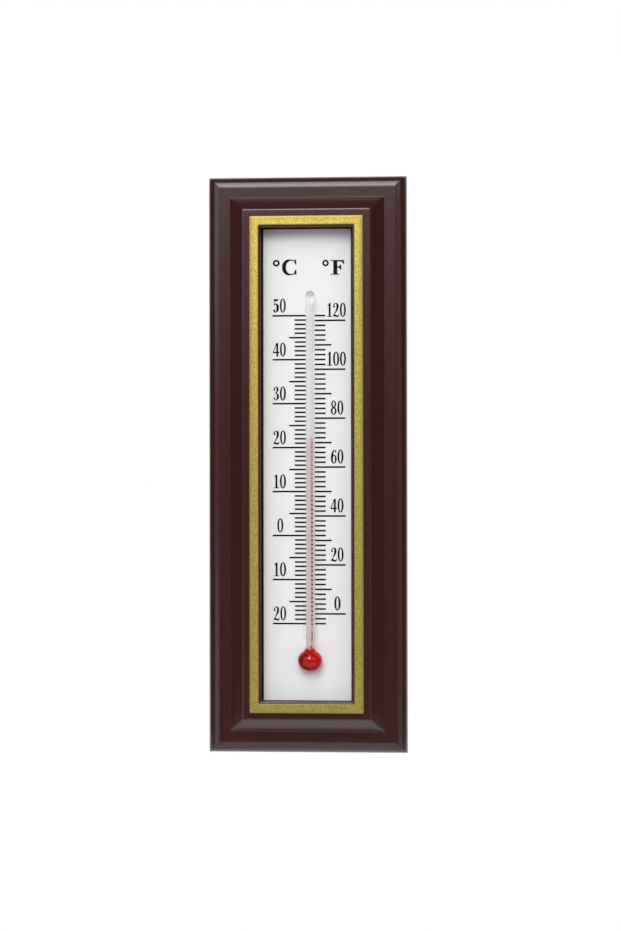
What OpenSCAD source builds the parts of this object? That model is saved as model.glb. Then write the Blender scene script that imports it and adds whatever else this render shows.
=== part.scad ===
// Wall thermometer: a moulded frame with a gilt slip round a recessed scale plate,
// and a spirit tube on the plate. The back is flat and hangs on one screw.
// +Z is up, +X is to the right, and the front faces -Y. The origin is at the middle of the
// keyhole's round entry, on the wall side. Heights are measured from the wall towards -Y.

/* [Frame] */
// Width of the frame
frame_w = 67.3; // [65:0.1:80]
// Height of the frame
frame_h = 195; // [190:1:230]
// Wall of the frame moulding
wall = 1.8; // [1.4:0.1:2.1]
// Height of the upright side, below the rounded edge
side_h = 4; // [3:0.1:5]
// Width of the rounded edge, seen from the front
edge_w = 4.2; // [3:0.1:4.6]
// Width of the outer shelf, from the outside edge to the foot of the slope
shelf_w = 7.65; // [6.8:0.05:8.5]
// Height of the outer shelf
shelf_h = 9.4; // [8.8:0.1:10]
// Width of the slope, seen from the front
slope_w = 4.7; // [4:0.05:6]
// Rise of the slope
slope_rise = 5.4; // [5:0.1:6.5]
// Flat ridge between the slope and the gilt slip
ridge_w = 2.23; // [1.5:0.01:3]
// Flat lip between the gilt slip and the recess
lip_w = 0.6; // [0.5:0.05:1.2]
// Depth of the recess, from the ridge to the face of the scale plate
recess_depth = 5.6; // [5:0.1:6.2]
// Floor of the recess
floor_t = 1.8; // [1.4:0.1:2.2]

/* [Gilt slip] */
// Width of the gilt slip
slip_w = 3.14; // [2.4:0.02:3.6]
// How far the slip stands above the ridge
slip_stand = 0.6; // [0.4:0.1:1.2]
// Depth of the channel that the slip is seated in
slip_seat = 0.8; // [0.5:0.1:1.2]
// Bevel along both edges of the slip
slip_bevel = 0.35; // [0.2:0.05:0.5]
// Clearance at each side of the slip in its channel
slip_clear = 0.03; // [0.02:0.01:0.1]

/* [Back cover] */
// Thickness of the back cover
cover_t = 1.6; // [1.4:0.1:2]
// Clearance round the back cover
cover_clear = 0.15; // [0.1:0.05:0.3]
// Depth of the keyhole's round entry below the top of the frame
keyhole_drop = 11.5; // [11:0.1:13]
// Radius of the keyhole's round entry
keyhole_r = 4; // [3.5:0.1:4.2]
// Radius of the keyhole's slot
slot_r = 2.1; // [1.8:0.1:2.4]
// Rise from the round entry to the top seat of the slot
slot_rise = 5.4; // [5:0.1:5.8]
// Thickness of each rib under the recess
rib_t = 1.2; // [0.8:0.1:2]
// Spacing of the ribs under the recess
rib_pitch = 35; // [25:1:40]

/* [Cover screws] */
// Distance of each screw from both edges of the frame
screw_inset = 9.2; // [8.8:0.1:10]
// Radius of the screw post
post_r = 3; // [2.6:0.1:3.6]
// Radius of the screw's shank
shank_r = 1.05; // [0.9:0.05:1.2]
// Clearance between the shank and the hole in the post
thread_clear = 0.05; // [0.03:0.01:0.1]
// Clearance round the screw in the cover
screw_clear = 0.15; // [0.1:0.05:0.3]
// Radius of the screw's head
head_r = 2.2; // [2:0.05:2.4]
// Depth of the screw's head below the back face
head_sink = 0.1; // [0.05:0.05:0.2]
// Length of the screw over its head
screw_l = 5.9; // [5:0.1:6.2]
// Length of each arm of the cross recess
cross_l = 1.1; // [0.8:0.1:1.3]
// Width of each arm of the cross recess
cross_w = 0.45; // [0.3:0.05:0.6]
// Depth of the cross recess
cross_depth = 0.8; // [0.5:0.1:1]

/* [Scale plate] */
// Thickness of the scale plate
plate_t = 0.8; // [0.6:0.1:1]
// Gap beside the scale plate in its recess
plate_gap_side = 0.58; // [0.3:0.02:0.8]
// Gap above and below the scale plate
plate_gap_end = 0.1; // [0.05:0.05:0.4]
// Thickness of the double-sided tape
tape_t = 0.2; // [0.1:0.05:0.3]
// Width of each strip of tape
tape_w = 4.5; // [3:0.5:5]
// Distance from the long edge of the plate to the tape
tape_inset = 1.5; // [1:0.1:3]
// Distance from the ends of the plate to the tape
tape_end = 5; // [3:0.5:12]
// Clearance round the bulb in the plate
bulb_hole_clear = 0.25; // [0.2:0.05:0.4]

/* [Printed scale] */
// Highest Celsius reading
top_c = 50; // [40:10:50]
// Lowest Celsius reading
low_c = -20; // [-20:10:0]
// Length of the scale for one degree Celsius
degree_l = 1.48; // [1.4:0.005:1.5]
// Height of the zero Celsius line above the bulb's middle
zero_rise = 41.8; // [39:0.1:44]
// Distance of the tube's axis to the right of the plate's middle
tube_x = 1.1; // [-1:0.1:1.5]
// Thickness of a line
line_t = 0.45; // [0.3:0.05:0.6]
// Thickness of the ink
ink_t = 0.04; // [0.03:0.01:0.05]
// Start of the lines, from the tube's axis
line_start = 1.2; // [0.8:0.1:1.6]
// Bare plate beyond the end of a ten degree Celsius line
c_margin = 3.1; // [2.5:0.05:5]
// End of a five degree Celsius line, from the tube's axis
c_middle = 7.2; // [6:0.1:9]
// End of a one degree Celsius line
c_minor = 5.3; // [4:0.1:6]
// Bare plate beyond the end of a twenty degree Fahrenheit line
f_margin = 1.85; // [1.5:0.05:4]
// End of a ten degree Fahrenheit line
f_middle = 7.1; // [6:0.1:9]
// End of a two degree Fahrenheit line
f_minor = 5.1; // [4:0.1:6]

/* [Spirit tube] */
// Outside diameter of the tube
tube_d = 3.2; // [2.8:0.1:3.6]
// Diameter of the bore
bore_d = 0.5; // [0.4:0.02:0.8]
// Clearance between the spirit thread and the bore
thread_fit = 0.04; // [0.02:0.01:0.08]
// Outside diameter of the bulb
bulb_d = 8.2; // [7.4:0.1:8.4]
// Wall of the bulb
bulb_wall = 0.25; // [0.2:0.05:0.4]
// Clearance between the bulb's wall and the spirit in it
bulb_fit = 0.05; // [0.03:0.01:0.08]
// Clearance round the bulb in the floor of the recess
pocket_clear = 0.3; // [0.2:0.05:0.5]
// Wall of the boss behind the bulb
pocket_wall = 1.6; // [1.2:0.1:1.8]
// Gap between the ink and the tube
tube_gap = 0.01; // [0.01:0.01:0.05]
// Height of the bulb's middle above the lower end of the scale plate
bulb_rise = 13.38; // [12:0.01:16]
// Height of the tube's tip above the highest line
tip_over = 8.1; // [7:0.1:11]
// Length of solid glass at the tip
tip_l = 4.1; // [3:0.1:4.5]
// Reading at rest, in degrees Celsius
reading = 22; // [-20:1:50]
// Height of the meniscus
meniscus_l = 0.3; // [0.25:0.05:0.4]
// Depth of the dish in the meniscus
meniscus_dish = 0.12; // [0.08:0.01:0.16]

/* [Adhesive] */
// Width of each dab across the tube, at the plate
dab_w = 5; // [4.4:0.1:5.6]
// Width of each dab at its top
dab_top_w = 2.8; // [2.4:0.1:3.2]
// Rise of each dab up the tube's side
dab_rise = 1.3; // [0.8:0.1:1.5]
// Gap between the two beads of a dab, under the tube
dab_split = 1.2; // [1:0.1:1.6]
// Clearance between a dab and the tube
dab_clear = 0.02; // [0.01:0.01:0.05]
// Length of the lower dab
low_dab_l = 12.4; // [8:0.2:14]
// Height of the lower dab's middle above the bulb's middle
low_dab_rise = 13; // [12:0.1:17]
// Length of the upper dab
top_dab_l = 5; // [3:0.5:7]
// Distance from the tube's tip down to the upper dab's middle
top_dab_drop = 4.7; // [4.5:0.1:7]

/* [Hidden] */
$fn = 64;
past = 1;
half_w = frame_w / 2;
half_h = frame_h / 2;
middle_drop = half_h - keyhole_drop;
edge_steps = 10;
freezing_f = 32;
f_per_c = 1.8;
ridge_u = shelf_w + slope_w;
slip_u = ridge_u + ridge_w;
lip_u = slip_u + slip_w;
recess_u = lip_u + lip_w;
tray_u = recess_u - wall;
ridge_h = shelf_h + slope_rise;
slip_base_h = ridge_h - slip_seat;
slip_top_h = ridge_h + slip_stand;
slope_angle = atan2(slope_rise, slope_w);
roof_h = slip_base_h - wall;
roof_foot_u = shelf_w + wall * tan(slope_angle / 2);
roof_head_u = shelf_w + (wall + (roof_h - shelf_h) * cos(slope_angle)) / sin(slope_angle);
plate_face_h = ridge_h - recess_depth;
plate_back_h = plate_face_h - plate_t;
floor_h = plate_back_h - tape_t;
floor_back_h = floor_h - floor_t;
plate_w = frame_w - 2 * (recess_u + plate_gap_side);
plate_h = frame_h - 2 * (recess_u + plate_gap_end);
c_major = plate_w / 2 + tube_x - c_margin;
f_major = plate_w / 2 - tube_x - f_margin;
low_f = round(low_c * f_per_c + freezing_f);
top_f = round(top_c * f_per_c + freezing_f);
bulb_z = bulb_rise - plate_h / 2;
zero_z = bulb_z + zero_rise;
tip_z = zero_z + top_c * degree_l + tip_over;
low_dab_z = bulb_z + low_dab_rise;
top_dab_z = tip_z - top_dab_drop;
tube_r = tube_d / 2;
tube_h = plate_face_h + ink_t + tube_gap + tube_r;
bulb_r = bulb_d / 2;
cavity_r = bulb_r - bulb_wall;
spirit_r = cavity_r - bulb_fit;
bore_r = bore_d / 2;
thread_r = bore_r - thread_fit;
pocket_r = bulb_r + pocket_clear;
boss_back_h = tube_h - pocket_r - pocket_wall;
boss_r = pocket_r + pocket_wall;
plate_sink = tube_h - plate_face_h;
bulb_hole_r = sqrt(bulb_r * bulb_r - plate_sink * plate_sink) + bulb_hole_clear;
thread_base_z = bulb_z + cavity_r;
column_z = zero_z + reading * degree_l;
dish_r = (thread_r * thread_r + meniscus_dish * meniscus_dish) / (2 * meniscus_dish);
post_x = half_w - screw_inset;
post_z = half_h - screw_inset;
pilot_r = shank_r + thread_clear;
pilot_end_h = head_sink + screw_l + 2 * thread_clear;

// Colours
brown = [0.25, 0.13, 0.12];
cover_brown = [0.2, 0.11, 0.1];
gilt = [0.83, 0.71, 0.36];
steel = [0.7, 0.7, 0.72];
white = [0.93, 0.93, 0.93];
tape_white = [0.85, 0.85, 0.8];
ink_black = [0.08, 0.08, 0.08];
clear_glass = [0.8, 0.86, 0.88, 0.35];
spirit_red = [0.72, 0.05, 0.03];
clear_glue = [0.9, 0.9, 0.85, 0.5];

// A section given as [distance in from the edge, height], with its mirror image beside it
function mirrored(half, section) = concat(
    [for (p = section) [p[0] - half, p[1]]],
    [for (i = [len(section) - 1:-1:0]) [half - section[i][0], section[i][1]]]);

// Points of a rounded edge, a quarter of an ellipse, from its upright side to its flat top
function edge_points(u, h, w, rise) =
    [for (i = [0:edge_steps])
        [u + w * (1 - cos(90 * i / edge_steps)), h + rise * sin(90 * i / edge_steps)]];

// Puts the middle of the frame at its place below the keyhole
module from_middle() {
    translate([0, 0, -middle_drop]) children();
}

// A block whose height follows one section inwards from all four edges, with mitred corners
module mitred_block(section) {
    intersection() {
        mirror([0, 1, 0])
            linear_extrude(height = frame_h + 2 * past, center = true)
                polygon(mirrored(half_w, section));
        rotate([0, -90, 0])
            mirror([0, 1, 0])
                linear_extrude(height = frame_w + 2 * past, center = true)
                    polygon(mirrored(half_h, section));
    }
}

// A box between two heights, u in from all four edges
module inset_box(u, h0, h1) {
    mitred_block([[u, h0], [u, h1]]);
}

// A round bar that stands out from the wall between two heights
module standing_rod(r, h0, h1) {
    translate([0, -h0, 0]) rotate([90, 0, 0]) cylinder(r = r, h = h1 - h0);
}

// The outer form of the frame: round edge, shelf, slope and ridge
module frame_form() {
    mitred_block(concat([[0, 0]], edge_points(0, side_h, edge_w, shelf_h - side_h),
        [[shelf_w, shelf_h], [ridge_u, ridge_h]]));
}

// Four bars where the cover screws go, turned half a facet to keep their edges off the mitres
module screw_bars(r, h0, h1) {
    for (x = [-post_x, post_x], z = [-post_z, post_z])
        translate([x, 0, z]) rotate([0, 180 / $fn, 0]) standing_rod(r, h0, h1);
}

// The hollow under the shelf, slope and ridge, round the tray and the posts for the screws
module rail_hollow() {
    difference() {
        mitred_block(concat([[wall, cover_t - past]],
            edge_points(wall, side_h, edge_w - wall, shelf_h - wall - side_h),
            [[roof_foot_u, shelf_h - wall], [roof_head_u, roof_h]]));
        inset_box(tray_u, 0, roof_h + past);
        screw_bars(post_r, 0, roof_h + past);
    }
}

// The bulb, larger by a clearance
module bulb_space(clear) {
    translate([tube_x, -tube_h, bulb_z]) sphere(r = bulb_r + clear);
}

// The hollow behind the floor of the recess, round three ribs and the boss behind the bulb
module floor_hollow() {
    difference() {
        inset_box(recess_u, cover_t - past, floor_back_h);
        for (i = [-1:1])
            translate([-half_w, -floor_h, i * rib_pitch - rib_t / 2])
                cube([frame_w, floor_h, rib_t]);
        translate([tube_x, 0, bulb_z]) standing_rod(boss_r, boss_back_h, floor_h);
    }
}

module front_frame() {
    color(brown) from_middle() difference() {
        frame_form();
        inset_box(recess_u, floor_h, ridge_h + past);
        rail_hollow();
        floor_hollow();
        inset_box(wall, -past, cover_t);
        difference() {
            inset_box(slip_u - slip_clear, slip_base_h, ridge_h + past);
            inset_box(lip_u + slip_clear, 0, ridge_h + 2 * past);
        }
        bulb_space(pocket_clear);
        screw_bars(pilot_r, cover_t - past, pilot_end_h);
    }
}

module gilt_slip() {
    color(gilt) from_middle() difference() {
        mitred_block([[slip_u, slip_base_h], [slip_u, slip_top_h - slip_bevel],
            [slip_u + slip_bevel, slip_top_h]]);
        mitred_block([[lip_u, slip_base_h - past], [lip_u, slip_top_h - slip_bevel],
            [lip_u - slip_bevel - past, slip_top_h + past]]);
    }
}

module keyhole() {
    standing_rod(keyhole_r, -past, cover_t + past);
    translate([0, 0, slot_rise]) standing_rod(slot_r, -past, cover_t + past);
    translate([-slot_r, -cover_t - past, 0]) cube([2 * slot_r, cover_t + 2 * past, slot_rise]);
}

module back_cover() {
    color(cover_brown) difference() {
        from_middle() inset_box(wall + cover_clear, 0, cover_t);
        keyhole();
        from_middle()
            for (x = [-post_x, post_x], z = [-post_z, post_z])
                translate([x, 0, z]) {
                    standing_rod(shank_r + screw_clear, -past, cover_t + past);
                    countersink(screw_clear / 2, -past);
                }
    }
}

// The cone of a screw's head, larger by a clearance, which opens out behind the back face
module countersink(clear, start_h) {
    cone_l = head_r + clear - shank_r;
    translate([0, -head_sink, 0]) rotate([90, 0, 0])
        cylinder(r1 = head_r + clear, r2 = shank_r, h = cone_l);
    translate([0, -start_h, 0]) rotate([90, 0, 0])
        cylinder(r = head_r + clear, h = head_sink - start_h);
}

module cover_screw(side_x, side_z) {
    color(steel) from_middle() translate([side_x * post_x, 0, side_z * post_z]) difference() {
        union() {
            countersink(0, head_sink / 2);
            standing_rod(shank_r, head_sink / 2, head_sink + screw_l);
        }
        for (turn = [0, 90])
            translate([0, -head_sink, 0]) rotate([0, turn, 0])
                translate([-cross_l, -cross_depth, -cross_w / 2])
                    cube([2 * cross_l, cross_depth + past, cross_w]);
    }
}

module cover_screw_upper_left() {
    cover_screw(-1, 1);
}

module cover_screw_upper_right() {
    cover_screw(1, 1);
}

module cover_screw_lower_left() {
    cover_screw(-1, -1);
}

module cover_screw_lower_right() {
    cover_screw(1, -1);
}

module scale_plate() {
    color(white) from_middle() difference() {
        translate([-plate_w / 2, -plate_face_h, -plate_h / 2]) cube([plate_w, plate_t, plate_h]);
        translate([tube_x, 0, bulb_z])
            standing_rod(bulb_hole_r, plate_back_h - past, plate_face_h + past);
    }
}

module plate_tape(side) {
    middle_x = side * (plate_w / 2 - tape_inset - tape_w / 2);
    color(tape_white) from_middle()
        translate([middle_x - tape_w / 2, -plate_back_h, tape_end - plate_h / 2])
            cube([tape_w, tape_t, plate_h - 2 * tape_end]);
}

module plate_tape_left() {
    plate_tape(-1);
}

module plate_tape_right() {
    plate_tape(1);
}

// One printed line at height z, from near the tube out to the length given
module scale_line(side, z, reach) {
    near_x = tube_x + (side > 0 ? line_start : -reach);
    translate([near_x, -plate_face_h - ink_t, z - line_t / 2])
        cube([reach - line_start, ink_t, line_t]);
}

module celsius_scale() {
    color(ink_black) from_middle()
        for (c = [low_c:top_c])
            scale_line(-1, zero_z + c * degree_l,
                c % 10 == 0 ? c_major : c % 5 == 0 ? c_middle : c_minor);
}

module fahrenheit_scale() {
    color(ink_black) from_middle()
        for (f = [low_f:2:top_f])
            scale_line(1, zero_z + (f - freezing_f) / f_per_c * degree_l,
                f % 20 == 0 ? f_major : f % 10 == 0 ? f_middle : f_minor);
}

module glass_tube() {
    color(clear_glass) from_middle() translate([tube_x, -tube_h, 0]) difference() {
        union() {
            translate([0, 0, bulb_z]) cylinder(r = tube_r, h = tip_z - tube_r - bulb_z);
            translate([0, 0, tip_z - tube_r]) sphere(r = tube_r);
            translate([0, 0, bulb_z]) sphere(r = bulb_r);
        }
        translate([0, 0, bulb_z]) sphere(r = cavity_r);
        translate([0, 0, bulb_z]) cylinder(r = bore_r, h = tip_z - tip_l - bulb_z);
    }
}

module bulb_spirit() {
    color(spirit_red) from_middle() translate([tube_x, -tube_h, bulb_z]) sphere(r = spirit_r);
}

module spirit_thread() {
    color(spirit_red) from_middle() translate([tube_x, -tube_h, thread_base_z])
        cylinder(r = thread_r, h = column_z - meniscus_l - thread_base_z);
}

module meniscus() {
    color(spirit_red) from_middle() translate([tube_x, -tube_h, column_z]) difference() {
        translate([0, 0, -meniscus_l]) cylinder(r = thread_r, h = meniscus_l);
        translate([0, 0, dish_r - meniscus_dish]) sphere(r = dish_r);
    }
}

// Two beads of clear adhesive, one along each side of the tube
module adhesive_dab(length, middle_z) {
    color(clear_glue) from_middle()
        translate([tube_x, -plate_face_h - ink_t, middle_z]) mirror([0, 1, 0])
            linear_extrude(height = length, center = true) difference() {
                polygon([[-dab_w / 2, 0], [dab_w / 2, 0], [dab_top_w / 2, dab_rise],
                    [-dab_top_w / 2, dab_rise]]);
                translate([0, tube_gap + tube_r]) circle(r = tube_r + dab_clear);
                translate([-dab_split / 2, -past]) square([dab_split, past + dab_rise]);
            }
}

module upper_adhesive() {
    adhesive_dab(top_dab_l, top_dab_z);
}

module lower_adhesive() {
    adhesive_dab(low_dab_l, low_dab_z);
}

front_frame();
gilt_slip();
back_cover();
cover_screw_upper_left();
cover_screw_upper_right();
cover_screw_lower_left();
cover_screw_lower_right();
scale_plate();
plate_tape_left();
plate_tape_right();
celsius_scale();
fahrenheit_scale();
glass_tube();
bulb_spirit();
spirit_thread();
meniscus();
upper_adhesive();
lower_adhesive();
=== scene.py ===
"""Wall thermometer: a dark moulded frame with a gilt slip round a white scale plate and a spirit tube.

Shapes are worked out in millimetres as (across, height over the wall, up from the frame's middle),
and turned into the frame's metres when a mesh is made.
"""

import logging
import math
from collections.abc import Callable
from dataclasses import dataclass, field
from enum import Enum

import bpy
import numpy as np
from mathutils import Matrix, Vector


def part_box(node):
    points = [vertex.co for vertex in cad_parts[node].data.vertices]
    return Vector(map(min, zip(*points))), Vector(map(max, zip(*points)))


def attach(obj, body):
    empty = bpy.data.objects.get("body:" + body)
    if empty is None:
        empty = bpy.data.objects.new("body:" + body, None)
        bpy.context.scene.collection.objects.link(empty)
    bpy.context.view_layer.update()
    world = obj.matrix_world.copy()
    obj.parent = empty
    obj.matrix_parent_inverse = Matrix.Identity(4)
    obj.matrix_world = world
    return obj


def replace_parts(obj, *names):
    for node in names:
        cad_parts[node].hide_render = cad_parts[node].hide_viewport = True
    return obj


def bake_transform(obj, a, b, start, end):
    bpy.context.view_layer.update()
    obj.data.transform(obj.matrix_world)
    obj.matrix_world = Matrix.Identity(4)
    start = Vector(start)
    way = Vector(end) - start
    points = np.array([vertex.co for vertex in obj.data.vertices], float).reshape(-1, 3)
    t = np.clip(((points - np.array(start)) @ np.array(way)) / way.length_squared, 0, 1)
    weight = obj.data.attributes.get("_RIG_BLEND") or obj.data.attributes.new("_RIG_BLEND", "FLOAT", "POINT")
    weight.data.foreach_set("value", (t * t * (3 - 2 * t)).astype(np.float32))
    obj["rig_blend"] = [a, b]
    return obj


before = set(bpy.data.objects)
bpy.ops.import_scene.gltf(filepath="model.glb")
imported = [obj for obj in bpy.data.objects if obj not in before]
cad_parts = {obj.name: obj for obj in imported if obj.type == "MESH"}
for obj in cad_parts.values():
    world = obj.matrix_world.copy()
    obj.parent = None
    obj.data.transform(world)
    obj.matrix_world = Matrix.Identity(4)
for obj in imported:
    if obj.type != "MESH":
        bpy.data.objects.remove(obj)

MM = 0.001
SHARP_ANGLE = math.radians(38)
BEVEL_ANGLE = math.radians(40)
WELD_GAP = 0.002
INK_SPREAD = 0.012
# name of the point attribute that carries the painted shade along the gilt's edges
EDGE_SHADE_ATTRIBUTE = "worn"
LOG = logging.getLogger("thermometer")


class Body(Enum):
    """The bodies that a piece can ride on."""

    HOUSING = "housing"
    COLUMN = "spirit_column"


class Slot(Enum):
    """The record's material slots that new pieces are dressed for."""

    FRAME = "frame_plastic"
    COVER = "cover_plastic"
    GILT = "gilt"
    PLATE = "plate_white"
    INK = "ink"
    GLASS = "tube_glass"
    SPIRIT = "red_spirit"
    STEEL = "screw_steel"


@dataclass(frozen=True)
class Layout:
    """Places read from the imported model, in millimetres from the frame's middle.

    A point is given as (x, h, z): h is the height over the wall, so the row frame's y is -h.
    """

    middle_z: float
    half_w: float
    half_h: float
    plate_face_h: float
    tube_x: float
    tube_h: float
    bulb_r: float
    bulb_z: float
    tip_z: float
    thread_r: float
    thread_base_z: float
    column_z: float

    @classmethod
    def from_model(cls) -> "Layout":
        """Reads the boxes of the CAD nodes.

        Returns:
            The layout of this thermometer.
        """
        frame_lo, frame_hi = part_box("front_frame")
        plate_lo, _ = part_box("scale_plate")
        tube_lo, tube_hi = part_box("glass_tube")
        thread_lo, thread_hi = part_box("spirit_thread")
        _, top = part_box("meniscus")
        middle = (frame_lo.z + frame_hi.z) / 2
        bulb_r = (tube_hi.x - tube_lo.x) / 2
        return cls(
            middle_z=middle / MM,
            half_w=(frame_hi.x - frame_lo.x) / 2 / MM,
            half_h=(frame_hi.z - frame_lo.z) / 2 / MM,
            plate_face_h=-plate_lo.y / MM,
            tube_x=(tube_lo.x + tube_hi.x) / 2 / MM,
            tube_h=-(tube_lo.y + tube_hi.y) / 2 / MM,
            bulb_r=bulb_r / MM,
            bulb_z=(tube_lo.z + bulb_r - middle) / MM,
            tip_z=(tube_hi.z - middle) / MM,
            thread_r=(thread_hi.x - thread_lo.x) / 2 / MM,
            thread_base_z=(thread_lo.z - middle) / MM,
            column_z=(top.z - middle) / MM,
        )

    def point(self, x: float, h: float, z: float) -> Vector:
        """Turns a point in millimetres into the row frame's metres."""
        return Vector((x, -h, z + self.middle_z)) * MM

    def metres(self, points: np.ndarray) -> np.ndarray:
        """Turns points in millimetres, one a row, into the row frame's metres."""
        x, h, z = points.T
        return np.stack([x, -h, z + self.middle_z], 1) * MM


def new_object(name: str, data: bpy.types.ID) -> bpy.types.Object:
    """Makes an object of a mesh, a lamp or a camera and puts it in the scene.

    Args:
        name: the object's name.
        data: what it shows.

    Returns:
        The object, at the origin.
    """
    new = bpy.data.objects.new(name, data)
    bpy.context.scene.collection.objects.link(new)
    return new


def soft_path(corners: np.ndarray, runs: np.ndarray, steps: int = 8, guard: float = 0.05) -> np.ndarray:
    """Rounds the corners of an outline.

    Each inner corner P, with unit directions a towards it and b away from it, becomes the quarter of
    an ellipse P - a * run_in * (1 - sin t) + b * run_out * (1 - cos t), for t from 0 to 90 degrees.
    One more point just beyond each end of the curve keeps the flats beside it flat when shaded.

    Args:
        corners: the outline's corners, one a row; the first and last are its ends.
        runs: for each inner corner, how far its curve reaches before and after the corner.
        steps: the number of spans of each curve.
        guard: the distance from a curve's end to the point beyond it.

    Returns:
        The points of the rounded outline, one a row.
    """
    towards = corners[1:-1] - corners[:-2]
    away = corners[2:] - corners[1:-1]
    towards /= np.linalg.norm(towards, axis=1, keepdims=True)
    away /= np.linalg.norm(away, axis=1, keepdims=True)
    turn = np.linspace(0, np.pi / 2, steps + 1)[None, :, None]
    before = runs[:, 0][:, None, None] * (1 - np.sin(turn)) * towards[:, None]
    after = runs[:, 1][:, None, None] * (1 - np.cos(turn)) * away[:, None]
    curves = corners[1:-1, None] - before + after
    lead = corners[1:-1] - towards * (runs[:, :1] + guard)
    trail = corners[1:-1] + away * (runs[:, 1:] + guard)
    middle = np.concatenate([lead[:, None], curves, trail[:, None]], 1).reshape(-1, 2)
    return np.concatenate([corners[:1], middle, corners[-1:]])


@dataclass
class Skin:
    """Gathers closed shells in millimetres and makes one mesh object of them."""

    name: str
    layout: Layout
    points: list = field(default_factory=list)
    faces: list = field(default_factory=list)
    count: int = 0

    def add(self, rings: np.ndarray, ring_closes: bool = False, hollow: bool = False) -> None:
        """Adds one closed shell that runs through a row of closed loops.

        Point (i, j) of the surface is point j of loop i. Neighbouring loops are joined by four-sided
        faces. The first and last loops close to a point at their middle, or meet each other.

        Args:
            rings: loops x points x 3, in millimetres.
            ring_closes: the last loop joins the first, as on a slip that runs round a frame.
            hollow: the shell is the wall of a space inside a solid, so its faces point inwards.
        """
        loops, around, _ = rings.shape
        grid = np.arange(loops * around).reshape(loops, around)
        here = grid if ring_closes else grid[:-1]
        there = np.roll(grid, -1, 0) if ring_closes else grid[1:]
        quads = np.stack([here, np.roll(here, -1, 1), np.roll(there, -1, 1), there], -1).reshape(-1, 4)
        points = rings.reshape(-1, 3)
        tris = np.zeros((0, 3), int)
        if not ring_closes:
            first, last = len(points), len(points) + 1
            points = np.concatenate([points, rings[0].mean(0)[None], rings[-1].mean(0)[None]])
            start, end = grid[0], grid[-1]
            tris = np.concatenate([
                np.stack([np.full(around, first), np.roll(start, -1), start], 1),
                np.stack([np.full(around, last), end, np.roll(end, -1)], 1)])
        halves = np.concatenate([quads[:, [0, 1, 2]], quads[:, [0, 2, 3]], tris])
        metres = self.layout.metres(points)
        a, b, c = (metres[halves[:, k]] for k in range(3))
        inside_out = np.einsum("ij,ij->i", a, np.cross(b, c)).sum() < 0
        if inside_out != hollow:
            quads, tris = quads[:, ::-1], tris[:, ::-1]
        self.points.append(metres)
        self.faces += (quads + self.count).tolist() + (tris + self.count).tolist()
        self.count += len(points)

    def build(self, smooth: bool = True) -> bpy.types.Object:
        """Makes the mesh object.

        Args:
            smooth: shade it smooth, apart from its sharp edges.

        Returns:
            The new object, at the origin.
        """
        mesh = bpy.data.meshes.new(self.name)
        mesh.from_pydata(np.concatenate(self.points).tolist(), [], self.faces)
        mesh.update()
        piece = new_object(self.name, mesh)
        if smooth:
            mesh.polygons.foreach_set("use_smooth", np.ones(len(mesh.polygons), bool))
            mesh.set_sharp_from_angle(angle=SHARP_ANGLE)
        LOG.info("%s: %d points, %d faces", self.name, len(mesh.vertices), len(mesh.polygons))
        return piece

    def finished(self, material: bpy.types.Material, slot: Slot, *nodes: str, body: Body = Body.HOUSING,
                 smooth: bool = True) -> bpy.types.Object:
        """Makes the mesh object, dresses it and settles it on its body.

        Args:
            material: the finish.
            slot: the record's material slot.
            nodes: the CAD nodes that it replaces.
            body: the body that it moves with.
            smooth: shade it smooth, apart from its sharp edges.

        Returns:
            The piece.
        """
        piece = self.build(smooth)
        dress(piece, material)
        return settle(piece, slot, *nodes, body=body)


def revolved(profile: np.ndarray, centre: tuple, upright: bool = True, around: int = 48) -> np.ndarray:
    """Turns a profile round an axis.

    Loop i is the circle of radius profile[i, 0] at place profile[i, 1] along the axis.

    Args:
        profile: rows of (radius, place along the axis), in millimetres.
        centre: the axis, as (x, h) for an upright axis or (x, z) for one that stands out of the wall.
        upright: the axis runs along z, and otherwise along h.
        around: the number of points of each circle.

    Returns:
        The loops, as loops x points x 3.
    """
    turn = np.linspace(0, 2 * np.pi, around, endpoint=False)[None, :]
    radius, place = profile[:, :1], np.repeat(profile[:, 1:], around, 1)
    first = centre[0] + radius * np.cos(turn)
    second = centre[1] + radius * np.sin(turn)
    return np.stack([first, second, place] if upright else [first, place, second], -1)


def soft_slab(x: tuple, z: tuple, section: np.ndarray, corner_r: float, corner_steps: int = 5) -> np.ndarray:
    """Loops of a flat block with round corners, whose edge follows a section.

    Args:
        x: left and right side, in millimetres.
        z: lower and upper end.
        section: rows of (distance in from the side, height over the wall).
        corner_r: radius of its corners.
        corner_steps: the spans of each corner.

    Returns:
        The loops, as loops x points x 3.
    """
    loop = RoundedLoop.make(0, 0, corner_steps)
    half_w, half_z = (x[1] - x[0]) / 2, (z[1] - z[0]) / 2
    rings = loop.rings(half_w, half_z, section, corner_r)
    rings[..., 0] += (x[0] + x[1]) / 2
    rings[..., 2] += (z[0] + z[1]) / 2
    return rings


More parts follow.
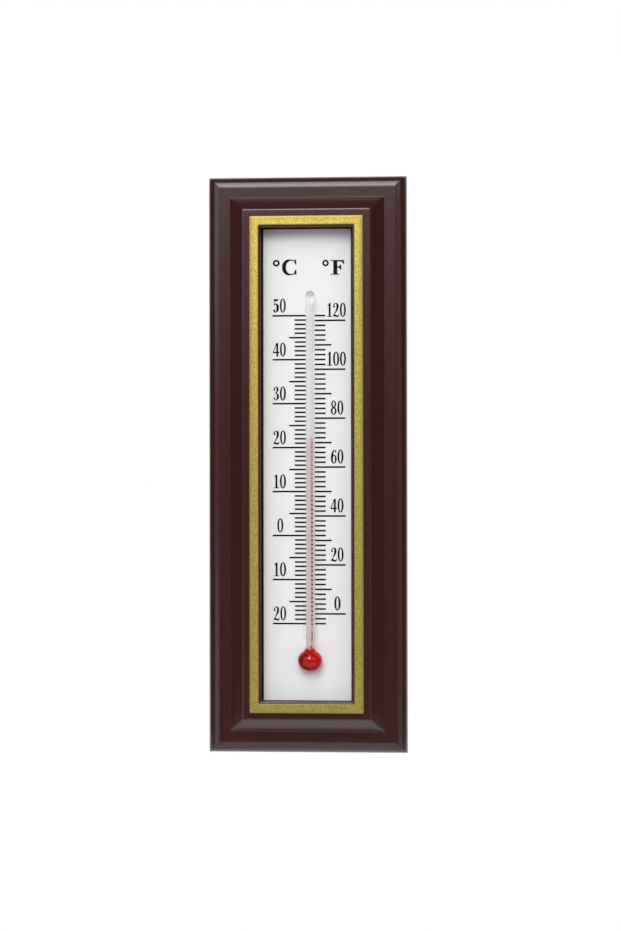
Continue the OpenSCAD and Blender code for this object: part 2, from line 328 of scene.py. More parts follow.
@dataclass(frozen=True)
class RoundedLoop:
    """The points of a rectangle with round corners, as factors of its size and its corner radius."""

    side_x: np.ndarray
    side_z: np.ndarray
    arc_x: np.ndarray
    arc_z: np.ndarray

    @classmethod
    def make(cls, along_w: int, along_h: int, corner_steps: int = 6) -> "RoundedLoop":
        """Works out the factors for a loop that starts at the right end of the top side.

        Args:
            along_w: points between the corners along the top and bottom.
            along_h: points between the corners along the sides.
            corner_steps: the spans of each corner.

        Returns:
            The loop's factors.
        """
        turn = np.linspace(0, np.pi / 2, corner_steps + 1)
        parts = []
        for quarter, between in enumerate([along_w, along_h, along_w, along_h]):
            angle = np.pi / 2 * quarter
            corner = np.sign(np.array([math.cos(angle + np.pi / 4), math.sin(angle + np.pi / 4)]))
            arc = np.stack([np.cos(turn + angle), np.sin(turn + angle)], 1)
            arc = np.round(arc, 12)
            parts.append(np.concatenate([np.repeat(corner[None], len(turn), 0), arc], 1))
            share = np.linspace(0, 1, between + 2)[1:-1, None]
            following = np.sign([math.cos(angle + 3 * np.pi / 4), math.sin(angle + 3 * np.pi / 4)])
            line = corner * (1 - share) + following * share
            parts.append(np.concatenate([line, np.repeat(arc[-1:], between, 0)], 1))
        return cls(*np.concatenate(parts).T)

    def rings(self, half_w: float, half_h: float, section: np.ndarray, corner_r: float) -> np.ndarray:
        """Carries a section round the rectangle, with mitred corners of one small radius.

        Args:
            half_w: half the rectangle's width, in millimetres.
            half_h: half its height.
            section: rows of (distance in from the sides, height over the wall).
            corner_r: radius of its corners.

        Returns:
            The loops, as loops x points x 3.
        """
        inset, height = section[:, :1], section[:, 1:]
        x = (half_w - inset - corner_r) * self.side_x + corner_r * self.arc_x
        z = (half_h - inset - corner_r) * self.side_z + corner_r * self.arc_z
        return np.stack([x, np.broadcast_to(height, x.shape), z], -1)


def any_ray(tree: bpy.types.NodeTree, *kinds: str) -> bpy.types.NodeSocket:
    """Tells whether the light path is any of some kinds of ray, by the largest of their marks.

    Args:
        tree: the nodes of a material or of the world.
        kinds: outputs of the Light Path node, such as "Is Camera Ray".

    Returns:
        1 on these rays, and otherwise 0.
    """
    path = tree.nodes.new("ShaderNodeLightPath")
    seen = path.outputs[kinds[0]]
    for kind in kinds[1:]:
        either = tree.nodes.new("ShaderNodeMath")
        either.operation = "MAXIMUM"
        tree.links.new(seen, either.inputs[0])
        tree.links.new(path.outputs[kind], either.inputs[1])
        seen = either.outputs[0]
    return seen


class Nodes:
    """Short ways to lay out the nodes of one material."""

    def __init__(self, name: str) -> None:
        """Starts a material with its shader and output.

        Args:
            name: the material's name.
        """
        self.material = bpy.data.materials.new(name)
        self.material.use_nodes = True
        self.tree = self.material.node_tree
        self.shader = self.tree.nodes["Principled BSDF"]
        self.output = self.tree.nodes["Material Output"]
        self.place = self.tree.nodes.new("ShaderNodeTexCoord").outputs["Object"]

    def set(self, **values: float) -> None:
        """Sets sockets of the shader; an underscore in a name stands for a space."""
        for name, value in values.items():
            self.shader.inputs[name.replace("_", " ")].default_value = value

    def link(self, source: bpy.types.NodeSocket, target: bpy.types.NodeSocket) -> None:
        """Joins two sockets."""
        self.tree.links.new(source, target)

    def feed(self, name: str, source: bpy.types.NodeSocket) -> None:
        """Joins a socket to the shader's socket of that name."""
        self.link(source, self.shader.inputs[name])

    def stretched(self, scale: tuple) -> bpy.types.NodeSocket:
        """Scales the object's coordinates.

        Args:
            scale: the factor along each axis.

        Returns:
            The scaled coordinates.
        """
        mapping = self.tree.nodes.new("ShaderNodeMapping")
        mapping.inputs["Scale"].default_value = scale
        self.link(self.place, mapping.inputs["Vector"])
        return mapping.outputs["Vector"]

    def noise(self, grain: float, detail: float = 3, scale: tuple = (1, 1, 1)) -> bpy.types.NodeSocket:
        """Adds a noise pattern.

        Args:
            grain: size of a grain, in millimetres.
            detail: the number of finer layers.
            scale: stretches the pattern along each axis.

        Returns:
            The pattern's strength, about 0.5 on the whole.
        """
        node = self.tree.nodes.new("ShaderNodeTexNoise")
        node.inputs["Scale"].default_value = 1 / (grain * MM)
        node.inputs["Detail"].default_value = detail
        self.link(self.stretched(scale), node.inputs["Vector"])
        return node.outputs["Fac"]

    def across(self) -> bpy.types.NodeSocket:
        """Picks the object's coordinate from left to right.

        Returns:
            The coordinate, in metres.
        """
        parts = self.tree.nodes.new("ShaderNodeSeparateXYZ")
        self.link(self.place, parts.inputs["Vector"])
        return parts.outputs["X"]

    def range(self, source: bpy.types.NodeSocket, low: tuple, high: tuple) -> bpy.types.NodeSocket:
        """Maps a value from one range to another.

        Args:
            source: the value.
            low: the range that it comes in.
            high: the range that it goes out in.

        Returns:
            The mapped value.
        """
        node = self.tree.nodes.new("ShaderNodeMapRange")
        for name, value in zip(("From Min", "From Max", "To Min", "To Max"), low + high):
            node.inputs[name].default_value = value
        self.link(source, node.inputs["Value"])
        return node.outputs["Result"]

    def blend(self, share: bpy.types.NodeSocket, first: "tuple | bpy.types.NodeSocket",
              second: tuple) -> bpy.types.NodeSocket:
        """Mixes two colours by a share.

        Args:
            share: how much of the second colour.
            first: the first colour, as linear red, green and blue or as another node's colour.
            second: the second colour.

        Returns:
            The mixed colour.
        """
        node = self.tree.nodes.new("ShaderNodeMix")
        node.data_type = "RGBA"
        if isinstance(first, tuple):
            node.inputs["A"].default_value = (*first, 1)
        else:
            self.link(first, node.inputs["A"])
        node.inputs["B"].default_value = (*second, 1)
        self.link(share, node.inputs["Factor"])
        return node.outputs["Result"]

    def bump(self, source: bpy.types.NodeSocket, depth: float, strength: float = 1.0) -> None:
        """Gives the shader a relief.

        Args:
            source: the relief's height, from 0 to 1.
            depth: the relief's depth, in millimetres.
            strength: how strongly it shows.
        """
        node = self.tree.nodes.new("ShaderNodeBump")
        node.inputs["Distance"].default_value = depth * MM
        node.inputs["Strength"].default_value = strength
        self.link(source, node.inputs["Height"])
        self.feed("Normal", node.outputs["Normal"])


@dataclass(frozen=True)
class MouldedPlastic:
    """Dark moulded plastic with a faint flow pattern and a very fine grain."""

    name: str
    dark: tuple
    light: tuple
    roughness: tuple
    patch: float = 9.0
    grain: float = 1.3
    grain_depth: float = 0.004
    ior: float = 1.56

    def material(self) -> bpy.types.Material:
        """Lays out the finish's nodes.

        Returns:
            The material.
        """
        nodes = Nodes(self.name)
        patches = nodes.noise(self.patch, scale=(1, 1, 0.35))
        share = nodes.range(patches, (0.3, 0.7), (0, 1))
        nodes.feed("Base Color", nodes.blend(share, self.dark, self.light))
        nodes.feed("Roughness", nodes.range(nodes.noise(self.patch / 4, 2), (0.3, 0.7), self.roughness))
        nodes.bump(nodes.noise(self.grain, 4), self.grain_depth)
        nodes.set(IOR=self.ior)
        return nodes.material


@dataclass(frozen=True)
class GiltFoil:
    """Hot-pressed gilt foil: grainy, with shade painted along its edges, where it turns darker, browner and
    rougher as the edge-shade attribute nears 1.
    """

    name: str = "gilt_foil"
    dark: tuple = (0.45, 0.335, 0.056)
    light: tuple = (0.82, 0.675, 0.152)
    # painted shade: the colour that the foil turns to at its edges
    worn: tuple = (0.30, 0.21, 0.08)
    grain: float = 0.42
    grain_depth: float = 0.013
    metallic: float = 0.9
    roughness: float = 0.37
    worn_roughness: float = 0.55
    relief_share: float = 0.6

    def material(self) -> bpy.types.Material:
        """Lays out the finish's nodes.

        Returns:
            The material.
        """
        nodes = Nodes(self.name)
        grain = nodes.noise(self.grain, 4)
        foil = nodes.blend(nodes.range(grain, (0.35, 0.65), (0, 1)), self.dark, self.light)
        # painted shade: a mask that darkens, browns and roughens the foil towards its edges
        edge = nodes.tree.nodes.new("ShaderNodeAttribute")
        edge.attribute_name = EDGE_SHADE_ATTRIBUTE
        shade_share = edge.outputs["Fac"]
        nodes.feed("Base Color", nodes.blend(shade_share, foil, self.worn))
        nodes.feed("Roughness", nodes.range(shade_share, (0, 1), (self.roughness, self.worn_roughness)))
        nodes.bump(grain, self.grain_depth, self.relief_share)
        nodes.set(Metallic=self.metallic)
        return nodes.material


@dataclass(frozen=True)
class PaintedPlate:
    """White lacquered sheet with a faint mottle."""

    name: str = "plate_lacquer"
    dark: tuple = (0.812, 0.812, 0.815)
    light: tuple = (0.842, 0.842, 0.845)
    roughness: float = 0.42
    mottle: float = 6
    grain: float = 0.6
    grain_depth: float = 0.004

    def material(self) -> bpy.types.Material:
        """Lays out the finish's nodes.

        Returns:
            The material.
        """
        nodes = Nodes(self.name)
        nodes.feed("Base Color", nodes.blend(nodes.noise(self.mottle), self.dark, self.light))
        nodes.bump(nodes.noise(self.grain), self.grain_depth)
        nodes.set(Roughness=self.roughness)
        return nodes.material


@dataclass(frozen=True)
class PlainFinish:
    """A finish with two close tones and an even surface, for print, tape and screws."""

    name: str
    dark: tuple
    light: tuple
    roughness: float
    grain: float = 0.5
    metallic: float = 0.0
    relief: float = 0.0
    ior: float = 1.5

    def material(self) -> bpy.types.Material:
        """Lays out the finish's nodes.

        Returns:
            The material.
        """
        nodes = Nodes(self.name)
        grain = nodes.noise(self.grain)
        nodes.feed("Base Color", nodes.blend(grain, self.dark, self.light))
        if self.relief:
            nodes.bump(grain, self.relief)
        nodes.set(Roughness=self.roughness, Metallic=self.metallic, IOR=self.ior)
        return nodes.material


@dataclass(frozen=True)
class ClearFinish:
    """A clear or tinted material that light goes through: glass, adhesive or spirit.

    Its tint can be darker on the left as painted shade, standing in for the light that a ball of liquid
    focuses into its right side; it changes over the shade's span, in millimetres from the frame's middle.
    """

    name: str
    tint: tuple
    roughness: float
    ior: float
    transmission: float = 1.0
    left_tint: tuple = ()
    left_span: tuple = (-2.0, 3.4)
    alpha: float = 1.0

    def material(self) -> bpy.types.Material:
        """Lays out the finish's nodes.

        Returns:
            The material.
        """
        nodes = Nodes(self.name)
        nodes.set(Base_Color=(*self.tint, 1), Roughness=self.roughness, IOR=self.ior,
                  Transmission_Weight=self.transmission, Alpha=self.alpha)
        # painted shade: the tint darkens towards the left across the span
        if self.left_tint:
            share = nodes.range(nodes.across(), tuple(end * MM for end in self.left_span), (0, 1))
            nodes.feed("Base Color", nodes.blend(share, self.left_tint, self.tint))
        return nodes.material


def dress(piece: bpy.types.Object, material: bpy.types.Material) -> None:
    """Gives a piece its one material."""
    piece.data.materials.clear()
    piece.data.materials.append(material)


def settle(piece: bpy.types.Object, slot: Slot, *nodes: str, body: Body = Body.HOUSING) -> bpy.types.Object:
    """Says what a new piece rides on and which nodes it stands for.

    Args:
        piece: the new piece.
        slot: the record's material slot; not used.
        nodes: the CAD nodes that it replaces.
        body: the body that it moves with.

    Returns:
        The piece.
    """
    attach(piece, body.value)
    if nodes:
        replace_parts(piece, *nodes)
    return piece


def merged_copy(node: str, name: str, edge: float) -> bpy.types.Object:
    """Copies a CAD node, joins its loose triangles and rounds its edges a little.

    Args:
        node: the CAD node.
        name: the new piece's name.
        edge: width of the rounding, in millimetres.

    Returns:
        The new piece, which isn't on a body yet.
    """
    piece = new_object(name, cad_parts[node].data.copy())
    for layer in [a.name for a in piece.data.attributes if a.name == "custom_normal"]:
        piece.data.attributes.remove(piece.data.attributes[layer])
    weld = piece.modifiers.new("weld", "WELD")
    weld.merge_threshold = WELD_GAP * MM
    bevel = piece.modifiers.new("edges", "BEVEL")
    bevel.width = edge * MM
    bevel.segments = 2
    bevel.limit_method = "ANGLE"
    bevel.angle_limit = BEVEL_ANGLE
    bevel.use_clamp_overlap = True
    LOG.info("%s: copied from %s", name, node)
    return piece


@dataclass
class Moulding:
    """The frame: one thin moulding with a round edge, a shelf, a slope, a ridge and a recess.

    Sizes are in millimetres. Names in _w are widths seen from the front, from the outside edge in, those
    in _h heights over the wall, those in _t thicknesses and those in _r radii. The wall of the recess is
    cut back by undercut up to undercut_h, which leaves the dark gap round the plate.
    """

    layout: Layout
    side_h: float = 4.0
    edge_w: float = 4.2
    shelf_w: float = 7.65
    shelf_h: float = 9.4
    slope_w: float = 4.7
    slope_rise: float = 5.4
    ridge_w: float = 2.23
    slip_w: float = 3.14
    slip_seat: float = 0.8
    slip_stand: float = 0.6
    slip_clear: float = 0.03
    lip_w: float = 0.6
    floor_h: float = 8.2
    floor_t: float = 1.8
    floor_rim: float = 0.8
    wall: float = 1.8
    cover_t: float = 1.6
    corner_r: float = 0.3
    foot_r: float = 0.07
    undercut: float = 0.5
    undercut_h: float = 13.3
    lip_r: float = 0.58
    pocket_clear: float = 0.3
    pocket_wall: float = 1.6
    post_inset: float = 9.2
    post_r: float = 3.0
    pilot_r: float = 1.1
    pilot_end_h: float = 6.1
    rib_t: float = 1.2
    rib_pitch: float = 35.0
    rib_sink: float = 0.2
    finish: MouldedPlastic = MouldedPlastic(
        "frame_plastic", (0.040, 0.0098, 0.0092), (0.045, 0.0110, 0.0102), (0.20, 0.25))

    @property
    def ridge_u(self) -> float:
        """Distance from the outside edge to the ridge."""
        return self.shelf_w + self.slope_w

    @property
    def slip_u(self) -> float:
        """Distance from the outside edge to the gilt slip."""
        return self.ridge_u + self.ridge_w

    @property
    def lip_u(self) -> float:
        """Distance from the outside edge to the lip inside the slip."""
        return self.slip_u + self.slip_w

    @property
    def recess_u(self) -> float:
        """Distance from the outside edge to the recess."""
        return self.lip_u + self.lip_w

    @property
    def ridge_h(self) -> float:
        """Height of the ridge."""
        return self.shelf_h + self.slope_rise

    def section(self) -> np.ndarray:
        """Works out the moulding's closed section, from the recess over the front to the back.

        Returns:
            Rows of (distance in from the outside edge, height), in millimetres.
        """
        seat_h = self.ridge_h - self.slip_seat
        roof_h = seat_h - self.wall
        inner_h = self.shelf_h - self.wall
        tray_u = self.recess_u - self.wall
        lean = math.atan2(self.slope_rise, self.slope_w)
        roof_foot_u = self.shelf_w + self.wall * math.tan(lean / 2)
        roof_head_u = self.shelf_w + (self.wall + (roof_h - self.shelf_h) * math.cos(lean)) / math.sin(lean)
        corners = [
            ((self.recess_u + self.floor_rim, self.floor_h), (0, 0)),
            ((self.recess_u - self.undercut, self.floor_h), (0.2, 0.2)),
            ((self.recess_u - self.undercut, self.undercut_h), (0.05, 0.05)),
            ((self.recess_u, self.undercut_h), (0.08, 0.08)),
            ((self.recess_u, self.ridge_h), (self.lip_r, self.lip_r)),
            ((self.lip_u + self.slip_clear, self.ridge_h), (0.08, 0.08)),
            ((self.lip_u + self.slip_clear, seat_h), (0.1, 0.1)),
            ((self.slip_u - self.slip_clear, seat_h), (0.1, 0.1)),
            ((self.slip_u - self.slip_clear, self.ridge_h), (0.12, 0.12)),
            ((self.ridge_u, self.ridge_h), (0.36, 0.36)),
            ((self.shelf_w, self.shelf_h), (self.foot_r, self.foot_r)),
            ((0, self.shelf_h), (self.edge_w, self.shelf_h - self.side_h)),
            ((0, 0), (0.2, 0.2)),
            ((self.wall, 0), (0.15, 0.15)),
            ((self.wall, inner_h), (self.edge_w - self.wall, inner_h - self.side_h)),
            ((roof_foot_u, inner_h), (0.3, 0.3)),
            ((roof_head_u, roof_h), (0.3, 0.3)),
            ((tray_u, roof_h), (0.3, 0.3)),
            ((tray_u, self.cover_t), (0.2, 0.2)),
            ((self.recess_u, self.cover_t), (0.2, 0.2)),
            ((self.recess_u, self.floor_h - self.floor_t), (0.3, 0.3)),
            ((self.recess_u + self.floor_rim, self.floor_h - self.floor_t), (0, 0)),
        ]
        places = np.array([c[0] for c in corners], float)
        runs = np.array([c[1] for c in corners[1:-1]], float)
        return soft_path(places, runs)

    def pocket(self, loop: RoundedLoop) -> tuple:
        """Works out the pocket for the bulb, on loops that match the frame's own.

        The circle of radius r has its point j in the direction of point j of the recess's edge.

        Args:
            loop: the loop that the frame's section is carried round.

        Returns:
            The loops of the pocket, from its bottom to the floor, and those of the boss behind it.
        """
        lay = self.layout
        edge = loop.rings(lay.half_w, lay.half_h, np.array([[self.recess_u, 0]]), self.corner_r)[0]
        turn = np.arctan2(edge[:, 2] - lay.bulb_z, edge[:, 0] - lay.tube_x)
        pocket_r = lay.bulb_r + self.pocket_clear
        boss_r = pocket_r + self.pocket_wall
        last = math.acos((lay.tube_h - self.floor_h) / pocket_r)
        lift = np.linspace(0.08, last, 12)
        cup = np.stack([pocket_r * np.sin(lift), lay.tube_h - pocket_r * np.cos(lift)], 1)
        back_h = lay.tube_h - boss_r
        boss = np.array([[boss_r, self.floor_h - self.floor_t], [boss_r, back_h + 0.3],
                         [boss_r - 0.3, back_h], [0.5, back_h]])

        def circles(profile: np.ndarray) -> np.ndarray:
            """Turns a profile about the bulb's axis.

            Args:
                profile: rows of (radius, height).

            Returns:
                The loops, as loops x points x 3.
            """
            radius, height = profile[:, :1], profile[:, 1:]
            x = lay.tube_x + radius * np.cos(turn)
            z = lay.bulb_z + radius * np.sin(turn)
            return np.stack([x, np.broadcast_to(height, x.shape), z], -1)

        return circles(cup), circles(boss)

    def post(self, x: float, z: float) -> np.ndarray:
        """Loops of a screw post, from the end of its bore to a top that follows the frame from inside.

        The top lies half a wall under the frame's shelf and slope: at the height of the outer surface
        over each point of the post's rim, less half the wall.

        Args:
            x: the post's place across the frame.
            z: its place up from the frame's middle.

        Returns:
            The loops, as loops x points x 3.
        """
        lay = self.layout
        profile = np.array([[self.pilot_r, self.pilot_end_h], [self.pilot_r, self.cover_t],
                            [self.post_r, self.cover_t], [self.post_r, self.shelf_h]])
        rings = revolved(profile, (x, z), upright=False, around=32)
        rim = rings[-1]
        inset = np.minimum(lay.half_w - np.abs(rim[:, 0]), lay.half_h - np.abs(rim[:, 2]))
        surface = np.interp(inset, [self.shelf_w, self.ridge_u], [self.shelf_h, self.ridge_h])
        rim[:, 1] = surface - self.wall / 2
        return rings

    def build(self) -> bpy.types.Object:
        """Makes the frame, its posts and its ribs as one piece.

        Returns:
            The piece.
        """
        lay = self.layout
        skin = Skin("frame_moulding", lay)
        loop = RoundedLoop.make(14, 30)
        body = loop.rings(lay.half_w, lay.half_h, self.section(), self.corner_r)
        cup, boss = self.pocket(loop)
        skin.add(np.concatenate([cup, body, boss]))
        for x in (-1, 1):
            for z in (-1, 1):
                skin.add(self.post(x * (lay.half_w - self.post_inset), z * (lay.half_h - self.post_inset)))
        section = np.array([[0.1, self.cover_t], [0, self.cover_t + 0.1],
                            [0, self.floor_h - self.floor_t + self.rib_sink]])
        half = lay.half_w - self.recess_u
        for centre_z in (-self.rib_pitch, 0, self.rib_pitch):
            span = (centre_z - self.rib_t / 2, centre_z + self.rib_t / 2)
            skin.add(soft_slab((-half, half), span, section, corner_r=0.1))
        return skin.finished(self.finish.material(), Slot.FRAME, "front_frame")


@dataclass
class GiltSlip:
    """The gilt band that is seated in the frame's channel.

    Its outer edge is rounded over round_w and round_h, and shade is painted into the foil's colour over a
    band from its outer edge and a narrower one from its inner edge, whose widths are given below, all in
    millimetres.
    """

    moulding: Moulding
    corner_r: float = 0.5
    round_w: float = 0.9
    round_h: float = 0.3
    inner_r: float = 0.22
    worn_w: float = 1.7
    worn_in: float = 0.6
    finish: GiltFoil = GiltFoil()

    def build(self) -> bpy.types.Object:
        """Makes the slip: a section with a broadly rounded outer edge, carried round the frame.

        Returns:
            The piece.
        """
        m = self.moulding
        base_h = m.ridge_h - m.slip_seat
        top_h = m.ridge_h + m.slip_stand
        inner, outer = m.lip_u, m.slip_u
        middle = [(inner + outer) / 2, base_h]
        crown = [inner - self.worn_in, top_h]
        corners = np.array([middle, [outer, base_h], [outer, top_h], crown,
                            [inner, top_h], [inner, base_h], middle])
        runs = np.array([[0.05, 0.05], [self.round_h, self.round_w], [0.1, 0.1],
                         [self.inner_r, self.inner_r], [0.05, 0.05]])
        section = soft_path(corners, runs, 7, 0.03)[:-1]
        rings = RoundedLoop.make(6, 20).rings(m.layout.half_w, m.layout.half_h, section, self.corner_r)
        lay = m.layout
        skin = Skin("gilt_band", lay)
        skin.add(rings, ring_closes=True)
        piece = skin.finished(self.finish.material(), Slot.GILT, "gilt_slip")
        inset = np.minimum(lay.half_w - np.abs(rings[..., 0]), lay.half_h - np.abs(rings[..., 2])).ravel()
        # painted shade along the foil's outer and inner edge: 1 at the edge, falling to 0 over each band's
        # width
        shade_from_outside = 1 - (inset - outer) / self.worn_w
        shade_from_inside = 1 - (inner - inset) / self.worn_in
        worn = np.clip(np.maximum(shade_from_outside, shade_from_inside), 0, 1)
        piece.data.attributes.new(EDGE_SHADE_ATTRIBUTE, "FLOAT", "POINT").data.foreach_set("value", worn)
        return piece


def print_ink(skin: Skin, edges: np.ndarray, base_h: float, ink_t: float, closed: bool = False) -> None:
    """Adds a stroke of ink between two edges.

    Loop i is the four corners of the stroke's section: both edges at row i, on the plate and on top.

    Args:
        skin: the skin that takes the stroke.
        edges: rows x 2 sides x (x, z), in millimetres.
        base_h: height of the plate's face.
        ink_t: thickness of the ink.
        closed: the stroke's last row joins its first, as in a nought.
    """
    heights = base_h + ink_t * np.array([0, 1, 1, 0])
    flat = edges[:, [0, 0, 1, 1]]
    rings = np.stack([flat[..., 0], np.broadcast_to(heights, flat.shape[:2]), flat[..., 1]], -1)
    skin.add(rings, ring_closes=closed)


def ellipse(centre: tuple, radii: tuple, power: float = 2, rows: int = 40) -> np.ndarray:
    """Points of an ellipse.

    x = centre + radius * cos a and z = centre + radius * sin a, each with its share raised to
    2 / power, which squares the curve a little when power is over 2.

    Args:
        centre: its middle (x, z).
        radii: its radii (x, z).
        power: 2 for a true ellipse.
        rows: the number of points.

    Returns:
        Rows of (x, z).
    """
    turn = np.radians(np.linspace(0, 360, rows, endpoint=False))
    way = np.stack([np.cos(turn), np.sin(turn)], 1)
    return np.array(centre) + np.sign(way) * np.abs(way) ** (2 / power) * np.array(radii)


def stroke(path: list, rows: int = 28) -> np.ndarray:
    """The two edges of a pen stroke.

    The middle line is a cubic curve through the points, whose direction at a point is that from the
    point before it to the one after it. Each edge lies half the width to its side, square to the line.

    Args:
        path: points (x, z, width).
        rows: the number of rows.

    Returns:
        Rows x 2 sides x (x, z).
    """
    knots = np.array(path, float)
    padded = np.concatenate([[2 * knots[0] - knots[1]], knots, [2 * knots[-1] - knots[-2]]])
    where = np.linspace(0, len(knots) - 1, rows)
    index = np.minimum(where.astype(int), len(knots) - 2)
    t = (where - index)[:, None]
    p0, p1, p2, p3 = (padded[index + k] for k in range(4))
    line = 0.5 * (2 * p1 + (p2 - p0) * t + (2 * p0 - 5 * p1 + 4 * p2 - p3) * t ** 2
                  + (3 * p1 - p0 - 3 * p2 + p3) * t ** 3)
    direction = np.gradient(line[:, :2], axis=0)
    direction /= np.linalg.norm(direction, axis=1, keepdims=True)
    side = np.stack([-direction[:, 1], direction[:, 0]], 1) * (line[:, 2:] + INK_SPREAD) / 2
    return np.stack([line[:, :2] + side, line[:, :2] - side], 1)


def bar(x0: float, z0: float, x1: float, z1: float) -> np.ndarray:
    """The edges of an upright block of ink from (x0, z0) to (x1, z1)."""
    return facet((x0, z0, x1, z0), (x0, z1, x1, z1))


def facet(*rows: tuple) -> np.ndarray:
    """The edges of a straight-sided stroke, from rows of (x, z) of one edge and (x, z) of the other."""
    return np.array(rows, float).reshape(-1, 2, 2)


def ring(centre: tuple, outer: tuple, inner_centre: tuple, inner: tuple,
         powers: tuple = (2, 2)) -> np.ndarray:
    """The edges of a closed ring between two ellipses.

    Args:
        centre: the outer ellipse's middle (x, z).
        outer: its radii.
        inner_centre: the inner ellipse's middle.
        inner: its radii.
        powers: how square the outer and the inner ellipse are, 2 for a true ellipse.

    Returns:
        Rows x 2 sides x (x, z).
    """
    return np.stack([ellipse(centre, outer, powers[0]), ellipse(inner_centre, inner, powers[1])], 1)


@dataclass(frozen=True)
class Glyph:
    """One character, in units of its own height: strokes and closed rings, each as its two edges."""

    width: float
    strokes: tuple = ()
    rings: tuple = ()


def book_numerals() -> dict:
    """Designs the narrow book numerals of the scale, with thick sides and thin tops.

    Returns:
        The glyph of each character.
    """
    return {
        "0": Glyph(0.44, rings=(
            ring((0.22, 0.5), (0.225, 0.515), (0.22, 0.5), (0.088, 0.44), (2.15, 2.1)),)),
        "1": Glyph(0.40, strokes=(
            bar(0.145, 0.02, 0.285, 0.99), bar(0.02, -0.005, 0.41, 0.055),
            facet((0.145, 0.86, 0.145, 0.80), (0.03, 0.86, 0.03, 0.835)),
            facet((0.145, 0.80, 0.145, 0.99), (0.10, 0.86, 0.285, 1.01)))),
        "2": Glyph(0.44, strokes=(
            stroke([(0.05, 0.70, 0.05), (0.055, 0.80, 0.07), (0.11, 0.925, 0.06), (0.20, 0.975, 0.05),
                    (0.31, 0.90, 0.13), (0.335, 0.73, 0.155), (0.28, 0.52, 0.12), (0.16, 0.28, 0.06),
                    (0.04, 0.09, 0.04)]),
            stroke([(0.02, 0.05, 0.10), (0.10, 0.09, 0.13), (0.24, 0.055, 0.12), (0.35, 0.03, 0.10),
                    (0.41, 0.10, 0.05), (0.43, 0.20, 0.03)]),
            stroke([(0.05, 0.66, 0.02), (0.07, 0.70, 0.10), (0.08, 0.745, 0.12), (0.075, 0.80, 0.04)]))),
        "3": Glyph(0.42, strokes=(
            stroke([(0.06, 0.70, 0.03), (0.075, 0.76, 0.12), (0.08, 0.82, 0.09), (0.13, 0.94, 0.05),
                    (0.20, 0.975, 0.05), (0.29, 0.90, 0.12), (0.31, 0.76, 0.14), (0.25, 0.60, 0.07),
                    (0.14, 0.535, 0.04)]),
            stroke([(0.14, 0.535, 0.04), (0.25, 0.49, 0.07), (0.325, 0.36, 0.14), (0.325, 0.18, 0.145),
                    (0.23, 0.04, 0.06), (0.13, 0.025, 0.05), (0.075, 0.09, 0.07), (0.07, 0.17, 0.11),
                    (0.055, 0.22, 0.03)]))),
        "4": Glyph(0.44, strokes=(
            bar(0.23, 0.0, 0.37, 0.98), bar(-0.03, 0.235, 0.45, 0.335),
            stroke([(0.255, 0.97, 0.05), (0.13, 0.65, 0.05), (-0.005, 0.31, 0.05)]))),
        "5": Glyph(0.43, strokes=(
            stroke([(0.075, 0.99, 0.045), (0.065, 0.78, 0.045), (0.055, 0.53, 0.045)]),
            facet((0.06, 0.995, 0.06, 0.835), (0.20, 0.97, 0.20, 0.81), (0.30, 0.97, 0.28, 0.82),
                  (0.39, 1.02, 0.35, 0.87)),
            stroke([(0.055, 0.54, 0.04), (0.17, 0.615, 0.07), (0.29, 0.54, 0.15), (0.33, 0.35, 0.18),
                    (0.30, 0.15, 0.15), (0.20, 0.035, 0.07), (0.10, 0.03, 0.07), (0.07, 0.09, 0.12),
                    (0.07, 0.17, 0.14), (0.05, 0.22, 0.03)]))),
        "6": Glyph(0.44, rings=(
            ring((0.225, 0.31), (0.22, 0.325), (0.232, 0.30), (0.078, 0.25)),), strokes=(
            stroke([(0.075, 0.32, 0.13), (0.08, 0.50, 0.14), (0.12, 0.72, 0.13), (0.19, 0.90, 0.09),
                    (0.27, 0.975, 0.05), (0.33, 0.94, 0.05), (0.355, 0.86, 0.10), (0.35, 0.80, 0.05)]),)),
        "8": Glyph(0.44, rings=(ring((0.22, 0.755), (0.19, 0.26), (0.22, 0.765), (0.075, 0.19)),
                                ring((0.22, 0.26), (0.225, 0.28), (0.22, 0.245), (0.085, 0.195)))),
        "C": Glyph(0.95, strokes=(
            stroke([(0.915, 0.70, 0.04), (0.86, 0.84, 0.04), (0.74, 0.95, 0.055), (0.56, 0.975, 0.065),
                    (0.34, 0.92, 0.16), (0.175, 0.74, 0.225), (0.135, 0.50, 0.245), (0.175, 0.27, 0.225),
                    (0.34, 0.085, 0.16), (0.56, 0.03, 0.07), (0.75, 0.075, 0.055), (0.89, 0.20, 0.04)], 60),
            facet((0.865, 1.01, 0.93, 1.01), (0.80, 0.85, 0.93, 0.80), (0.885, 0.68, 0.945, 0.68)),
            facet((0.865, 0.34, 0.945, 0.34), (0.80, 0.14, 0.94, 0.20), (0.88, 0.01, 0.955, 0.02)))),
        "F": Glyph(0.81, strokes=(
            bar(0.15, 0.02, 0.40, 0.98), bar(-0.02, -0.005, 0.52, 0.06), bar(-0.02, 0.93, 0.80, 0.995),
            facet((0.40, 0.95, 0.40, 0.89), (0.60, 0.95, 0.60, 0.90), (0.74, 0.95, 0.70, 0.86),
                  (0.82, 0.95, 0.775, 0.72), (0.835, 0.72, 0.78, 0.70)),
            facet((0.40, 0.56, 0.40, 0.47), (0.50, 0.56, 0.50, 0.48), (0.59, 0.68, 0.56, 0.36),
                  (0.645, 0.68, 0.645, 0.34)))),
        "o": Glyph(0.44, rings=(ring((0.22, 0.78), (0.22, 0.22), (0.22, 0.78), (0.1, 0.1)),)),
    }


def celsius_of(fahrenheit: float) -> float:
    """Turns degrees Fahrenheit into degrees Celsius."""
    return (fahrenheit - 32) / 1.8


@dataclass(frozen=True)
class Label:
    """A number or letter printed on the plate, by its box in millimetres from the plate's middle."""

    text: str
    left: float
    right: float
    foot: float
    head: float


